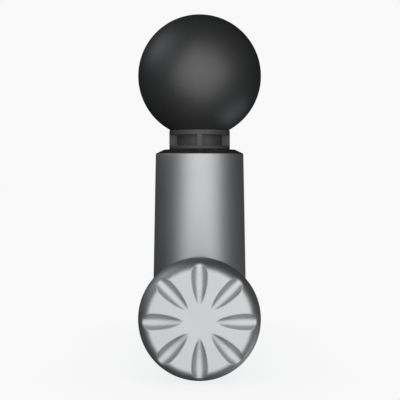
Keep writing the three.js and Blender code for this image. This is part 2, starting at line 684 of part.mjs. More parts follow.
function motorBase() {
  const pocket = MOTOR_BEARING_RADIUS + GAP;
  const frontPocketEnd = FRONT_BEARING_START + MOTOR_BEARING_WIDTH + GAP;
  return ring(MOTOR_BASE_RADIUS, 0, MOTOR_BASE_FRONT, MOTOR_BASE_BACK)
    .add(ring(BEARING_TUBE_OUTER, 0, MOTOR_BASE_FRONT, BEARING_TUBE_END))
    .subtract(ring(pocket, 0, MOTOR_BASE_FRONT - 1, frontPocketEnd))
    .subtract(ring(pocket, 0, REAR_BEARING_START - GAP, BEARING_TUBE_END + 1))
    .subtract(ring(SHAFT_RADIUS + GAP, 0, 0, BELL_BACK))
    .subtract(motorScrewHoles());
}

function motorBearing(start) {
  return ring(MOTOR_BEARING_RADIUS, SHAFT_RADIUS + GAP, start, start + MOTOR_BEARING_WIDTH);
}

// Teeth that carry the coils: a neck from the hub, and a wide shoe facing the magnets.
function statorTeeth(swell, front, back) {
  const hub = ring(STATOR_HUB_RADIUS + swell, BEARING_TUBE_OUTER + GAP, front, back);
  const rootInside = 0.4; // how far the neck starts inside the hub
  const neck = box(STATOR_RADIUS - STATOR_HUB_RADIUS, TOOTH_WIDTH + 2 * swell, back - front,
    (STATOR_RADIUS + STATOR_HUB_RADIUS) / 2 - rootInside, 0, (front + back) / 2);
  const shoes = ring(STATOR_RADIUS, STATOR_RADIUS - SHOE_THICKNESS - swell, front, back, FINE);
  const halfAngle = (FULL_TURN / STATOR_TEETH) * SHOE_SHARE / 2;
  const far = 2 * STATOR_RADIUS;
  const wedge = new THREE.Shape();
  wedge.moveTo(0, 0);
  wedge.lineTo(far * Math.cos(halfAngle), -far * Math.sin(halfAngle));
  wedge.lineTo(far * Math.cos(halfAngle), far * Math.sin(halfAngle));
  wedge.closePath();
  const tooth = shoes.intersect(pulledUp(wedge, front, back)).add(neck);
  let teeth = hub;
  for (let i = 0; i < STATOR_TEETH; i += 1) {
    teeth = teeth.add(aboutZ(tooth, (i * FULL_TURN) / STATOR_TEETH));
  }
  return teeth;
}

// Coils as one body: the end turns in front and behind, joined through the stator's slots.
function statorWindings() {
  return ring(WINDING_OUTER, WINDING_INNER, WINDING_FRONT, WINDING_BACK)
    .subtract(statorTeeth(GAP, STATOR_FRONT - GAP, STATOR_BACK + GAP));
}

function rotorBell() {
  const bore = BELL_RADIUS - BELL_WALL;
  const web = BELL_BACK - BELL_WEB;
  const hub = web - BELL_HUB_HEIGHT;
  const shaftHole = SHAFT_RADIUS + GAP;
  let bell = turned([
    [shaftHole, hub], [BELL_HUB_RADIUS, hub], [BELL_HUB_RADIUS, web], [bore, web],
    [bore, BELL_FRONT], [BELL_RADIUS, BELL_FRONT],
    [BELL_RADIUS, BELL_BACK - BELL_WALL], [BELL_RADIUS - BELL_WALL, BELL_BACK],
    [shaftHole, BELL_BACK], [shaftHole, hub],
  ]);
  const coolingHole = ring(COOLING_HOLE_RADIUS, 0, hub, BELL_BACK + 1, COARSE)
    .translate([COOLING_HOLE_CIRCLE, 0, 0]);
  for (let i = 0; i < COOLING_HOLES; i += 1) {
    bell = bell.subtract(aboutZ(coolingHole, (i * FULL_TURN) / COOLING_HOLES));
  }
  return bell;
}

function rotorMagnets() {
  const overhang = 0.5;
  return ring(BELL_RADIUS - BELL_WALL - GAP, STATOR_RADIUS + AIR_GAP,
    STATOR_FRONT - overhang, STATOR_BACK + overhang);
}

piece('motor_base', motorBase(), CAST_ALUMINIUM, handle);
piece('motor_front_bearing', motorBearing(FRONT_BEARING_START), BRIGHT_STEEL, handle);
piece('motor_rear_bearing', motorBearing(REAR_BEARING_START), BRIGHT_STEEL, handle);
piece('stator_core', statorTeeth(0, STATOR_FRONT, STATOR_BACK), NICKEL, handle);
piece('stator_windings', statorWindings(), COPPER, handle);
piece('rotor_bell', rotorBell(), BLACK_PLASTIC, handle);
piece('rotor_magnets', rotorMagnets(), NICKEL, handle);
for (let i = 0; i < MOTOR_SCREWS; i += 1) {
  const angle = motorScrewAngle(i);
  const x = MOTOR_SCREW_CIRCLE * Math.cos(angle);
  const y = MOTOR_SCREW_CIRCLE * Math.sin(angle);
  const face = PLATE_FRONT - GAP - MOTOR_SCREW.headHeight;
  piece(`motor_screw_${i + 1}`, screw(MOTOR_SCREW).translate([x, y, face]), BRIGHT_STEEL, handle);
}

// ---- handle: shell, junction ring, battery pack, control board and socket ------------------

const HANDLE_START = 14; // before it is cut back to the barrel's skin
const JUNCTION_START = 15;
const JUNCTION_END = 27;
const JUNCTION_CLEARANCE = 0.7; // round the motor's turning bell
const CONTROL_BOARD_REACH = 93.2;
const CONTROL_BOARD_RADIUS = 18.4;
const CONTROL_BOARD_THICKNESS = 1.2;
const PORT_WIDTH = 9.2;
const PORT_HEIGHT = 3.6;
const PORT_DEPTH = 6.5;
const PORT_WALL = 0.5;
const PORT_SUNK = 0.4; // how far the socket's rim lies inside the handle's skin
const PORT_REACH = CONTROL_BOARD_REACH - GAP - PORT_HEIGHT / 2;
const TONGUE_WIDTH = 6.6;
const TONGUE_DEPTH = 4.6;
const TONGUE_HEIGHT = 0.8;

// The handle's root meets the barrel's curved skin, so it is cut back to that skin plus a gap.
function barrelCutter() {
  const above = BARREL_TOP;
  const below = -BARREL_REAR_RADIUS;
  const cone = turned([
    [0, below], [barrelRadius(below) + GAP, below],
    [barrelRadius(above) + GAP, above], [0, above],
  ], FINE);
  // from the frame to the handle's own axes
  const toHandle = new THREE.Matrix4().makeRotationX(-Math.PI / 2)
    .multiply(new THREE.Matrix4().makeTranslation(0, 0, -HANDLE_HEIGHT));
  return cone.transform(toHandle.toArray());
}

function handleShell() {
  const end = KNOB_START - GAP;
  const [startRadius, endRadius] = [handleRadius(HANDLE_START), handleRadius(end)];
  const shell = turned([
    [startRadius - HANDLE_WALL, HANDLE_START], [startRadius, HANDLE_START],
    [endRadius, end], [endRadius - HANDLE_WALL, end],
    [startRadius - HANDLE_WALL, HANDLE_START],
  ], FINE);
  const port = box(PORT_WIDTH + 2 * GAP, endRadius, PORT_HEIGHT + 2 * GAP,
    0, -endRadius, PORT_REACH);
  return shell.subtract(barrelCutter()).subtract(port);
}

// Sits inside the barrel's side hole and inside the root of the handle, and ties them together.
function junctionRing() {
  const outer = handleRadius(JUNCTION_START) - HANDLE_WALL - GAP;
  return ring(outer, BELL_RADIUS + JUNCTION_CLEARANCE, JUNCTION_START, JUNCTION_END, FINE);
}

const CELLS = 3;
const CELL_RADIUS = 7;
const CELL_START = 35.5;
const CELL_END = 84.5;
const CELL_EDGE = 0.4;
const CELL_CONTACT_RADIUS = 2.6;
const CELL_CONTACT_HEIGHT = 1;
const CELL_CIRCLE = (CELL_RADIUS + GAP / 2) / Math.cos(Math.PI / 6);
const WIRE_HOLE_RADIUS = 3.2;
const TRAY_GRIP = { front: 4, rear: 6 }; // how far each tray reaches along the cells
const TRAY_FLOOR = { front: 2.1, rear: 1.6 };
const STRAP_ROOM = 1;
const STRAP_WIDTH = 3;
const STRAP_THICKNESS = 0.25;

const cellNumbers = Array.from({ length: CELLS }, (_, i) => i);
const cellAngle = (i) => Math.PI / 2 + (i * FULL_TURN) / CELLS;

function cellPlace(i) {
  return [CELL_CIRCLE * Math.cos(cellAngle(i)), CELL_CIRCLE * Math.sin(cellAngle(i)), 0];
}

// A cylindrical cell with its raised contact towards the barrel.
function batteryCell(i) {
  return turned([
    [0, CELL_START - CELL_CONTACT_HEIGHT], [CELL_CONTACT_RADIUS, CELL_START - CELL_CONTACT_HEIGHT],
    [CELL_CONTACT_RADIUS, CELL_START], [CELL_RADIUS - CELL_EDGE, CELL_START],
    [CELL_RADIUS, CELL_START + CELL_EDGE], [CELL_RADIUS, CELL_END], [0, CELL_END],
  ]).translate(cellPlace(i));
}

// A tray for the ends of the three cells, with a pocket and a wire hole for each.
function cellHolder(wallFrom, wallTo, pocketFrom, pocketTo) {
  const outer = handleRadius(wallFrom) - HANDLE_WALL - GAP;
  const pocket = ring(CELL_RADIUS + GAP, 0, pocketFrom, pocketTo);
  const wireHole = ring(WIRE_HOLE_RADIUS, 0, wallFrom - 1, wallTo + 1, COARSE);
  return cellNumbers.reduce(
    (left, i) => left.subtract(pocket.translate(cellPlace(i)))
      .subtract(wireHole.translate(cellPlace(i))),
    ring(outer, 0, wallFrom, wallTo),
  );
}

function frontCellHolder() {
  const floor = CELL_START - GAP;
  const end = CELL_START + TRAY_GRIP.front;
  return cellHolder(floor - TRAY_FLOOR.front, end, floor, end + 1);
}

// The rear tray also leaves room for the strap across the cells' ends.
function rearCellHolder() {
  const start = CELL_END - TRAY_GRIP.rear;
  const floor = CELL_END + STRAP_ROOM;
  return cellHolder(start, floor + TRAY_FLOOR.rear, start - 1, floor)
    .subtract(ring(CELL_CIRCLE, 0, start - 1, floor));
}

// Nickel strip across the ends of the three cells: a round spot on each, and an arm to it.
function cellStrap() {
  const front = CELL_END + GAP;
  const spot = ring(STRAP_WIDTH, 0, front, front + STRAP_THICKNESS, COARSE);
  const arm = box(CELL_CIRCLE, STRAP_WIDTH, STRAP_THICKNESS,
    CELL_CIRCLE / 2, 0, front + STRAP_THICKNESS / 2);
  const pieces = cellNumbers.flatMap(
    (i) => [spot.translate(cellPlace(i)), aboutZ(arm, cellAngle(i))]);
  return pieces.reduce((joined, next) => joined.add(next));
}

// The board with its controller chip and a power transistor on the side towards the cells.
function controlBoard() {
  const chip = { width: 9, depth: 7, height: 1.4, x: 7, y: 7 };
  const transistor = { width: 5, depth: 5, height: 1.4, x: -8, y: 6 };
  const onBoard = ({ width, depth, height, x, y }) =>
    box(width, depth, 2 * height, x, y, CONTROL_BOARD_REACH);
  const board = ring(CONTROL_BOARD_RADIUS, 0,
    CONTROL_BOARD_REACH, CONTROL_BOARD_REACH + CONTROL_BOARD_THICKNESS);
  const back = box(2 * CONTROL_BOARD_RADIUS, 2 * CONTROL_BOARD_RADIUS, CONTROL_BOARD_THICKNESS * 2,
    0, 0, CONTROL_BOARD_REACH + 2 * CONTROL_BOARD_THICKNESS);
  return board.add(onBoard(chip)).add(onBoard(transistor)).subtract(back);
}

function usbPort() {
  const rim = -handleRadius(PORT_REACH) + PORT_SUNK;
  const middle = rim + PORT_DEPTH / 2;
  const shell = box(PORT_WIDTH, PORT_DEPTH, PORT_HEIGHT, 0, middle, PORT_REACH);
  const hollow = box(PORT_WIDTH - 2 * PORT_WALL, PORT_DEPTH, PORT_HEIGHT - 2 * PORT_WALL,
    0, middle - 2 * PORT_WALL, PORT_REACH);
  const tongue = box(TONGUE_WIDTH, TONGUE_DEPTH, TONGUE_HEIGHT,
    0, rim + PORT_DEPTH - 2 * PORT_WALL - TONGUE_DEPTH / 2 + PORT_WALL, PORT_REACH);
  return shell.subtract(hollow).add(tongue);
}

const ENCODER_START = CONTROL_BOARD_REACH + CONTROL_BOARD_THICKNESS + GAP;
const ENCODER_SIDE = 12;
const ENCODER_HEIGHT = 3.6;
const ENCODER_BUSH_RADIUS = 3.6;
const ENCODER_BUSH_HEIGHT = 5.4;
const ENCODER_SHAFT_RADIUS = 2.3;
const ENCODER_SHAFT_END = KNOB_END - 4.2;
const SHAFT_FLAT = 1.6; // distance of the shaft's flat from its axis
const SHAFT_FLAT_LENGTH = 6;

function speedEncoder() {
  return box(ENCODER_SIDE, ENCODER_SIDE, ENCODER_HEIGHT, 0, 0, ENCODER_START + ENCODER_HEIGHT / 2)
    .add(ring(ENCODER_BUSH_RADIUS, 0, ENCODER_START, ENCODER_START + ENCODER_BUSH_HEIGHT))
    .subtract(ring(ENCODER_SHAFT_RADIUS + GAP, 0, ENCODER_START + 1, KNOB_END));
}

// A round shaft whose end has a flat, so that it turns with the knob.
function encoderShaft() {
  const side = 2 * ENCODER_SHAFT_RADIUS;
  const flat = box(side, side, 2 * SHAFT_FLAT_LENGTH, 0, SHAFT_FLAT + side / 2, ENCODER_SHAFT_END);
  return ring(ENCODER_SHAFT_RADIUS, 0, ENCODER_START + 1 + GAP, ENCODER_SHAFT_END).subtract(flat);
}

piece('handle_shell', handleShell(), SATIN_METAL, handle);
piece('junction_ring', junctionRing(), DARK_PLASTIC, handle);
cellNumbers.forEach((i) => piece(`battery_cell_${i + 1}`, batteryCell(i), CELL_WRAP, handle));
piece('cell_holder_front', frontCellHolder(), BLACK_PLASTIC, handle);
piece('cell_holder_rear', rearCellHolder(), BLACK_PLASTIC, handle);
piece('cell_strap', cellStrap(), NICKEL, handle);
piece('control_board', controlBoard(), BOARD_GREEN, handle);
piece('usb_port', usbPort(), BRIGHT_STEEL, handle);
piece('speed_encoder', speedEncoder(), BLACK_PLASTIC, handle);
piece('encoder_shaft', encoderShaft(), BRIGHT_STEEL, handle);

// ---- fluted end knob ----------------------------------------------------------------------

const KNOB_ROUNDING_WIDTH = 5.6; // the rim is a quarter of an ellipse, deeper than it is wide
const KNOB_ROUNDING_DEPTH = KNOB_END - KNOB_RIM_REACH;
const KNOB_WALL = 2.4;
const KNOB_CEILING = KNOB_END - 5.4; // inside of the knob's face
const KNOB_SHOULDER = KNOB_END - 7; // where the ceiling's slope meets the wall
const KNOB_HUB_RADIUS = 4.4;
const KNOB_HUB_START = KNOB_END - 8;
const KNOB_BORE_END = KNOB_END - 4;
const FLUTE_TIP = 6.2; // distance of a flute's pointed end from the knob's axis
const FLUTE_WIDE = 17; // where a flute is widest
const FLUTE_HALF_WIDTH = 3.1;
const FLUTE_OUTER = 24;
const FLUTE_DEPTH = 2;
const FLUTE_EXTRA_DEPTH = 1.6; // more depth at the outer end
const FLUTE_STATIONS = 7; // sections along the scoop
const FLUTE_SIDES = 8; // points round each section
const FLUTE_TIP_HALF_WIDTH = 0.08;
const FLUTE_END_ANGLE = 0.85; // how far the width has come round at the outer end, in radians

// One section of the scoop: its distance from the axis, half width and depth.
function fluteSection(share) {
  const reach = FLUTE_TIP + (FLUTE_OUTER - FLUTE_TIP) * share;
  const swell = reach < FLUTE_WIDE
    ? Math.sin((Math.PI / 2) * (reach - FLUTE_TIP) / (FLUTE_WIDE - FLUTE_TIP))
    : Math.cos(FLUTE_END_ANGLE * (reach - FLUTE_WIDE) / (FLUTE_OUTER - FLUTE_WIDE));
  const halfWidth = FLUTE_TIP_HALF_WIDTH + FLUTE_HALF_WIDTH * swell;
  const depth = FLUTE_TIP_HALF_WIDTH + FLUTE_DEPTH * Math.sin((Math.PI / 2) * share)
    + FLUTE_EXTRA_DEPTH * share ** 3;
  return { reach, halfWidth, depth };
}

// The tool that a flute is cut with: a tapering scoop, pointed at the middle of the knob,
// round below, sinking as it runs outwards.
function fluteCutter() {
  const positions = [];
  const index = [];
  for (let s = 0; s <= FLUTE_STATIONS; s += 1) {
    const { reach, halfWidth, depth } = fluteSection(s / FLUTE_STATIONS);
    for (let a = 0; a < FLUTE_SIDES; a += 1) {
      const angle = (a * FULL_TURN) / FLUTE_SIDES;
      positions.push(reach, halfWidth * Math.cos(angle), KNOB_END - depth * Math.sin(angle));
    }
  }
  for (let s = 0; s < FLUTE_STATIONS; s += 1) {
    for (let a = 0; a < FLUTE_SIDES; a += 1) {
      const here = s * FLUTE_SIDES + a;
      const next = s * FLUTE_SIDES + ((a + 1) % FLUTE_SIDES);
      index.push(here, next, here + FLUTE_SIDES, next, next + FLUTE_SIDES, here + FLUTE_SIDES);
    }
  }
  const last = FLUTE_STATIONS * FLUTE_SIDES;
  for (let a = 1; a < FLUTE_SIDES - 1; a += 1) {
    index.push(0, a + 1, a, last, last + a, last + a + 1);
  }
  const geometry = new THREE.BufferGeometry();
  geometry.setAttribute('position', new THREE.Float32BufferAttribute(positions, 3));
  geometry.setIndex(index);
  return solid(geometry);
}

function endKnob() {
  const inner = KNOB_RADIUS - KNOB_WALL;
  const start = handleRadius(KNOB_START);
  const rim = arc(0, 0, 1, 0, Math.PI / 2, 5).map(([across, along]) => [
    KNOB_RADIUS - KNOB_ROUNDING_WIDTH * (1 - across), KNOB_RIM_REACH + KNOB_ROUNDING_DEPTH * along]);
  let knob = turned([
    [start - KNOB_WALL, KNOB_START], [start, KNOB_START],
    ...rim,
    [0, KNOB_END], [0, KNOB_CEILING], [inner - 5, KNOB_CEILING], [inner - 1, KNOB_SHOULDER],
    [start - KNOB_WALL, KNOB_START],
  ], FINE);
  knob = knob.add(ring(KNOB_HUB_RADIUS, 0, KNOB_HUB_START, KNOB_CEILING + 1))
    .subtract(ring(ENCODER_SHAFT_RADIUS + GAP, 0, KNOB_START, KNOB_BORE_END));
  const flute = fluteCutter();
  for (let i = 0; i < FLUTES; i += 1) {
    knob = knob.subtract(aboutZ(flute, (i * FULL_TURN) / FLUTES));
  }
  return knob;
}

piece('end_knob', endKnob(), SATIN_METAL, handle);

export default massager;
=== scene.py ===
# %% [markdown]
# # A mini percussion massager, from its frame to its finishes
# The mechanism is already designed: the imported model holds every part at its real size and place.
# This lesson makes the surfaces that a person sees and touches. First it loads the model, and
# a way to measure the box that each of its parts fills. The finished looks have to stay inside that
# box.

# %% Load the imported model
import math

import bmesh
import bpy
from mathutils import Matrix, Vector


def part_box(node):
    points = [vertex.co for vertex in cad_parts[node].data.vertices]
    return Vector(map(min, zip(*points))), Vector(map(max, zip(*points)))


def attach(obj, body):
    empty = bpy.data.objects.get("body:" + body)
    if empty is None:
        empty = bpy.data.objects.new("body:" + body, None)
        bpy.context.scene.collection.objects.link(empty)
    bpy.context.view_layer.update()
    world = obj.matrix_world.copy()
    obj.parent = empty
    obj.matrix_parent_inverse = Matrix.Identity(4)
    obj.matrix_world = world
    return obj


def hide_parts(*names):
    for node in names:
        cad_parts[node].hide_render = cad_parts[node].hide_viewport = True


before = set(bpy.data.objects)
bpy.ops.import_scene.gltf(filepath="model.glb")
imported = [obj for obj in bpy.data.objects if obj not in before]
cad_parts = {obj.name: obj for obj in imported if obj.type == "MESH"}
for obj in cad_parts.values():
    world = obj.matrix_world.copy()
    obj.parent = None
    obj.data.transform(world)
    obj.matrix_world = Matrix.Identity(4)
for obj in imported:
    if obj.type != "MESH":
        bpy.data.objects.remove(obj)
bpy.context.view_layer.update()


def deselect_everything():
    bpy.ops.object.select_all(action="DESELECT")


# %% [markdown]
# ## Sizes that the pieces share
# A maker measures the frame before cutting anything. Lengths are in millimetres, because that is
# how such a product is drawn, and `MM` turns them into Blender's metres. The barrel's axis is Z,
# and the handle points along -Y.

# %% Measure the frame
MM = 0.001


def spans(node):
    """The lowest and highest corners of a part of the frame, in millimetres."""
    low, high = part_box(node)
    return low / MM, high / MM


def middle_of(node):
    """The middle of a part of the frame, in millimetres."""
    low, high = spans(node)
    return (low + high) / 2


def from_axis(point):
    """Distance of a point from the Z axis."""
    return math.hypot(point.x, point.y)


ball_top = spans("head_ball")[1].z
barrel_low, barrel_high = spans("barrel_tube")
knob_low, knob_high = spans("end_knob")
plunger_low, plunger_high = spans("plunger")
neck_low, neck_high = spans("head_neck")

BALL_RADIUS = 30  # the frame's own ball has flat sides, so its box is a little narrower
BALL_CENTRE = ball_top - BALL_RADIUS
BARREL_FOOT_RADIUS = barrel_high.x
BARREL_FOOT = barrel_low.z
BARREL_TOP = barrel_high.z
BARREL_TAPER = 0.018  # loss of radius for each millimetre of height
HANDLE_HEIGHT = middle_of("end_knob").z
KNOB_RADIUS = (knob_high.x - knob_low.x) / 2
KNOB_FACE = -knob_low.y  # how far the knob's face stands from the barrel's axis


def barrel_radius(height):
    return BARREL_FOOT_RADIUS - BARREL_TAPER * (height - BARREL_FOOT)


print(f"ball radius {BALL_RADIUS:.1f}, barrel {barrel_radius(0):.1f} to {barrel_radius(BARREL_TOP):.1f},",
      f"knob radius {KNOB_RADIUS:.1f}, reach {KNOB_FACE:.1f} mm")

# %% [markdown]
# ## The camera
# The handle points straight at the viewer, so the camera stands level with the middle of the
# object and looks along +Y. A long lens close to the object keeps some perspective, which makes
# the knob look large next to the barrel. Level with the middle, the camera would show too little
# below, so the view is shifted down a little and not tilted: upright edges stay upright.

# %% Camera
CAMERA_PLACE = (0.0002, -0.465, 0.0818)
LENS = 85.5  # on a sensor 36 mm wide

deselect_everything()
bpy.ops.object.camera_add(location=CAMERA_PLACE, rotation=(math.radians(90), 0, 0))
camera = bpy.context.object
camera.name = "studio_camera"
camera.data.lens = LENS
camera.data.sensor_width = 36
camera.data.shift_y = -0.0839
bpy.context.scene.camera = camera
bpy.context.scene.view_settings.view_transform = "Standard"
print("camera at", CAMERA_PLACE, "with a", LENS, "mm lens")

# %% [markdown]
# ## A small kit for building node trees
# Every finish below is a node tree. `put` adds one node and feeds its inputs, either with a plain
# value or with another node's output. `masked` makes a 0 to 1 mask out of any value, `between`
# turns a mask into a range of values, and `mixed` blends two colours by a mask. With these, a
# material reads as a short recipe.

# %% Helpers for node trees


def put(tree, kind, feeds=None, **settings):
    """Adds a node of a kind, such as TexNoise, and feeds its inputs by name or number."""
    made = tree.nodes.new("ShaderNode" + kind)
    for name, value in settings.items():
        setattr(made, name, value)
    for name, value in (feeds or {}).items():
        if isinstance(value, bpy.types.NodeSocket):
            tree.links.new(value, made.inputs[name])
        else:
            made.inputs[name].default_value = value
    return made


def between(tree, mask, low, high):
    return put(tree, "MapRange", {"Value": mask, "To Min": low, "To Max": high}).outputs[0]


def masked(tree, value, empty, full):
    """A mask that is 0 where a value is at its empty end, and 1 where it is at its full end."""
    return put(tree, "MapRange", {"Value": value, "From Min": empty, "From Max": full}).outputs[0]


def noise(tree, place, scale, detail, **more):
    """Cloudy noise. A bigger scale makes smaller clouds."""
    feeds = {"Vector": place, "Scale": scale, "Detail": detail, **more}
    return put(tree, "TexNoise", feeds).outputs[0]


def mixed(tree, mask, colour, other):
    return put(tree, "Mix", {0: mask, 6: colour, 7: other}, data_type="RGBA").outputs[2]


def worked(tree, operation, first, second=0.0, clamp=False):
    """One step of arithmetic between two values."""
    return put(tree, "Math", {0: first, 1: second}, operation=operation, use_clamp=clamp).outputs[0]


def grey(value, warmth=0.0):
    """A grey, a little warm above 0 and a little cool below it."""
    return (value * (1 + warmth), value, value * (1 - warmth), 1.0)


print("node helpers ready")

# %% [markdown]
# ## The stage
# A product picture wants a pale floor that runs into a pale background with no line between
# them. The floor is a large sheet just under the object that glows as brightly as the background
# does, with a faint painted contact shadow, darker where ambient occlusion finds the object close
# by. Only the camera sees the floor and the bright background, because satin metal would mirror them and
# lose its dark edges.
# From below the floor is clear, so the underside can be looked at.

# %% Floor and background
BACKGROUND = grey(0.945)
STUDIO_DARK = grey(0.008, -0.12)  # what the object mirrors where no light stands


def make_floor():
    deselect_everything()
    bpy.ops.mesh.primitive_plane_add(size=6, location=(0, 0, -0.0003))
    floor = bpy.context.object
    floor.name = "pale_floor"
    bpy.ops.object.transform_apply(location=True, rotation=True, scale=True)
    for ray in ("diffuse", "glossy", "transmission", "shadow"):
        setattr(floor, "visible_" + ray, False)
    material = bpy.data.materials.new("pale_floor")
    material.use_nodes = True
    tree = material.node_tree
    tree.nodes.clear()
    # Painted shadow: the floor's glow darkens to a slightly grey shade where ambient occlusion finds the
    # object near.
    painted_shadow_ao = put(tree, "AmbientOcclusion", {"Distance": 0.05}, samples=8).outputs["AO"]
    patches = noise(tree, put(tree, "TexCoord").outputs["Object"], 9.0, 2.0)
    painted_shadow_colour = mixed(tree, between(tree, patches, 0.0, 0.3), grey(0.84, -0.01), grey(0.86, -0.01))
    glow = put(tree, "Emission", {"Color": mixed(tree, painted_shadow_ao, painted_shadow_colour, BACKGROUND)})
    clear = put(tree, "BsdfTransparent")
    backfacing = put(tree, "NewGeometry").outputs["Backfacing"]
    surface = put(tree, "MixShader", {0: backfacing, 1: glow.outputs[0], 2: clear.outputs[0]})
    put(tree, "OutputMaterial", {"Surface": surface.outputs[0]})
    floor.data.materials.append(material)
    return floor


def light_the_background():
    world = bpy.data.worlds.new("studio")
    bpy.context.scene.world = world
    world.use_nodes = True
    tree = world.node_tree
    tree.nodes.clear()
    seen = put(tree, "Background", {"Color": BACKGROUND}).outputs[0]
    mirrored = put(tree, "Background", {"Color": STUDIO_DARK}).outputs[0]
    to_camera = put(tree, "LightPath").outputs["Is Camera Ray"]
    surface = put(tree, "MixShader", {0: to_camera, 1: mirrored, 2: seen})
    put(tree, "OutputWorld", {"Surface": surface.outputs[0]})


floor = make_floor()
light_the_background()
print("floor", round(floor.dimensions.x, 1), "m wide")

# %% [markdown]
# ## The lights
# One large softbox stands beside the camera and gives the round forms their broad, even glow.
# Two cool, weaker lights stand up on the left and down on the right, almost level with the
# object: they only graze its edges. Between them the studio stays dark, which draws the outline.
# The lights are fixed to the camera, as on a turntable shoot where the object turns and the
# lights stay, so every side of the object is lit alike.

# %% Lights
OBJECT_DISTANCE = 0.465  # from the camera to the barrel's axis


def add_light(name, direction, distance, size, power, colour):
    """A square softbox that faces the object. Direction is right, up and towards the camera."""
    aim = Vector((0, 0, -OBJECT_DISTANCE))
    place = aim + Vector(direction).normalized() * distance
    deselect_everything()
    bpy.ops.object.light_add(type="AREA")
    light = bpy.context.object
    light.name = name
    light.data.shape = "SQUARE"
    light.data.size = size
    light.data.energy = power
    light.data.color = colour
    light.parent = camera
    light.location = place
    light.rotation_euler = (aim - place).to_track_quat("-Z", "Y").to_euler()
    light.visible_camera = False
    print(f"{name}: {power} W, {size} m wide, {distance} m away")


WHITE = (1.0, 1.0, 1.0)
COOL = (0.9, 0.95, 1.0)
add_light("front_softbox", (0.05, 0.07, 0.99), 1.24, 2.2, 20.9, WHITE)
add_light("upper_left_edge", (-0.78, 0.66, -0.07), 0.6, 0.35, 0.42, COOL)
add_light("lower_right_edge", (0.68, -0.68, -0.25), 0.6, 0.35, 0.31, COOL)

# %% [markdown]
# ## Effects that several finishes share
# Real surfaces are never one colour. Four effects cover this product, each a node group with
# named sliders, so that every finish can turn them up or down for itself:
# - *grain* is the fine texture that blasting, moulding or casting leaves,
# - *edge wear* finds the edges, by comparing a rounded normal with the true one,
# - *handling* is the faint smudging and the dust that settles on upward faces,
# - *turning lines* are the rings that a lathe or a grinder leaves round an axis.

# %% Shared node groups


def new_group(name, inputs, outputs):
    """An empty group. Inputs is a dictionary of names and starting values."""
    tree = bpy.data.node_groups.new(name, "ShaderNodeTree")
    kind = "NodeSocketFloat"
    for title, start in inputs.items():
        slider = tree.interface.new_socket(name=title, in_out="INPUT", socket_type=kind)
        slider.default_value = start
    for title in outputs:
        tree.interface.new_socket(name=title, in_out="OUTPUT", socket_type=kind)
    sliders = tree.nodes.new("NodeGroupInput").outputs
    return tree, sliders, tree.nodes.new("NodeGroupOutput").inputs


def send(tree, value, socket):
    tree.links.new(value, socket)


def make_grain():
    sizes = {"Grain Size": 0.0002, "Patch Size": 0.02}
    tree, slider, result = new_group("Grain", sizes, ["Height", "Patches"])
    place = put(tree, "TexCoord").outputs["Object"]
    fine_scale = worked(tree, "DIVIDE", 1.0, slider["Grain Size"])
    patch_scale = worked(tree, "DIVIDE", 1.0, slider["Patch Size"])
    send(tree, noise(tree, place, fine_scale, 3.0, Roughness=0.6), result["Height"])
    send(tree, noise(tree, place, patch_scale, 3.0), result["Patches"])
    return tree


def make_edge_wear():
    tree, slider, result = new_group("Edge Wear", {"Edge Width": 0.0006, "Amount": 0.5}, ["Mask"])
    rounded = put(tree, "Bevel", {"Radius": slider["Edge Width"]}, samples=4).outputs[0]
    true_normal = put(tree, "NewGeometry").outputs["Normal"]
    product = put(tree, "VectorMath", {0: rounded, 1: true_normal}, operation="DOT_PRODUCT")
    edges = masked(tree, product.outputs["Value"], 0.995, 0.8)
    chips = masked(tree, noise(tree, put(tree, "TexCoord").outputs["Object"], 600.0, 4.0), 0.35, 0.65)
    chipped = worked(tree, "MULTIPLY", edges, chips)
    send(tree, worked(tree, "MULTIPLY", chipped, slider["Amount"], clamp=True), result["Mask"])
    return tree


def make_handling():
    amounts = {"Smudges": 0.5, "Dust": 0.2}
    tree, slider, result = new_group("Handling", amounts, ["Smudge Mask", "Dust Mask"])
    coordinates = put(tree, "TexCoord").outputs
    place = coordinates["Object"]
    pressed = masked(tree, noise(tree, place, 38.0, 4.0, Distortion=0.6), 0.42, 0.68)
    smudged = worked(tree, "MULTIPLY", pressed, slider["Smudges"], clamp=True)
    upward = put(tree, "SeparateXYZ", {0: coordinates["Normal"]}).outputs["Z"]
    specks = masked(tree, noise(tree, place, 900.0, 5.0), 0.5, 0.75)
    settled = worked(tree, "MULTIPLY", masked(tree, upward, 0.55, 1.0), specks)
    send(tree, smudged, result["Smudge Mask"])
    send(tree, worked(tree, "MULTIPLY", settled, slider["Dust"], clamp=True), result["Dust Mask"])
    return tree


def make_turning_lines():
    tree, slider, result = new_group("Turning Lines", {"Line Pitch": 0.0003, "Wobble": 0.4}, ["Height"])
    place = put(tree, "TexCoord").outputs["Object"]
    along = put(tree, "SeparateXYZ", {0: place}).outputs
    total = worked(tree, "ADD", worked(tree, "ADD", along["X"], along["Y"]), along["Z"])
    spread = worked(tree, "DIVIDE", total, slider["Line Pitch"])
    lines = put(tree, "TexNoise", {"W": spread, "Scale": 1.0, "Detail": 2.0}, noise_dimensions="1D")
    broken = worked(tree, "MULTIPLY", noise(tree, place, 250.0, 2.0), slider["Wobble"])
    send(tree, worked(tree, "ADD", lines.outputs[0], broken), result["Height"])
    return tree


GRAIN = make_grain()
EDGE_WEAR = make_edge_wear()
HANDLING = make_handling()
TURNING_LINES = make_turning_lines()
print("groups:", ", ".join(group.name for group in bpy.data.node_groups))

# %% [markdown]
# ## How a finish is put together
# Every finish starts in the same way: a Principled shader, the three shared effects, a colour
# that drifts between two shades, and a bump from the grain. Each material below then adds what is
# its own. A value that is the same all over a surface sits on the shader itself.

# %% Helpers for finishes


def use(tree, group, values):
    """Places a shared effect in a material, with that material's own slider values."""
    placed = tree.nodes.new("ShaderNodeGroup")
    placed.node_tree = group
    for name, value in values.items():
        placed.inputs[name].default_value = value
    return placed.outputs


MATERIALS = {}


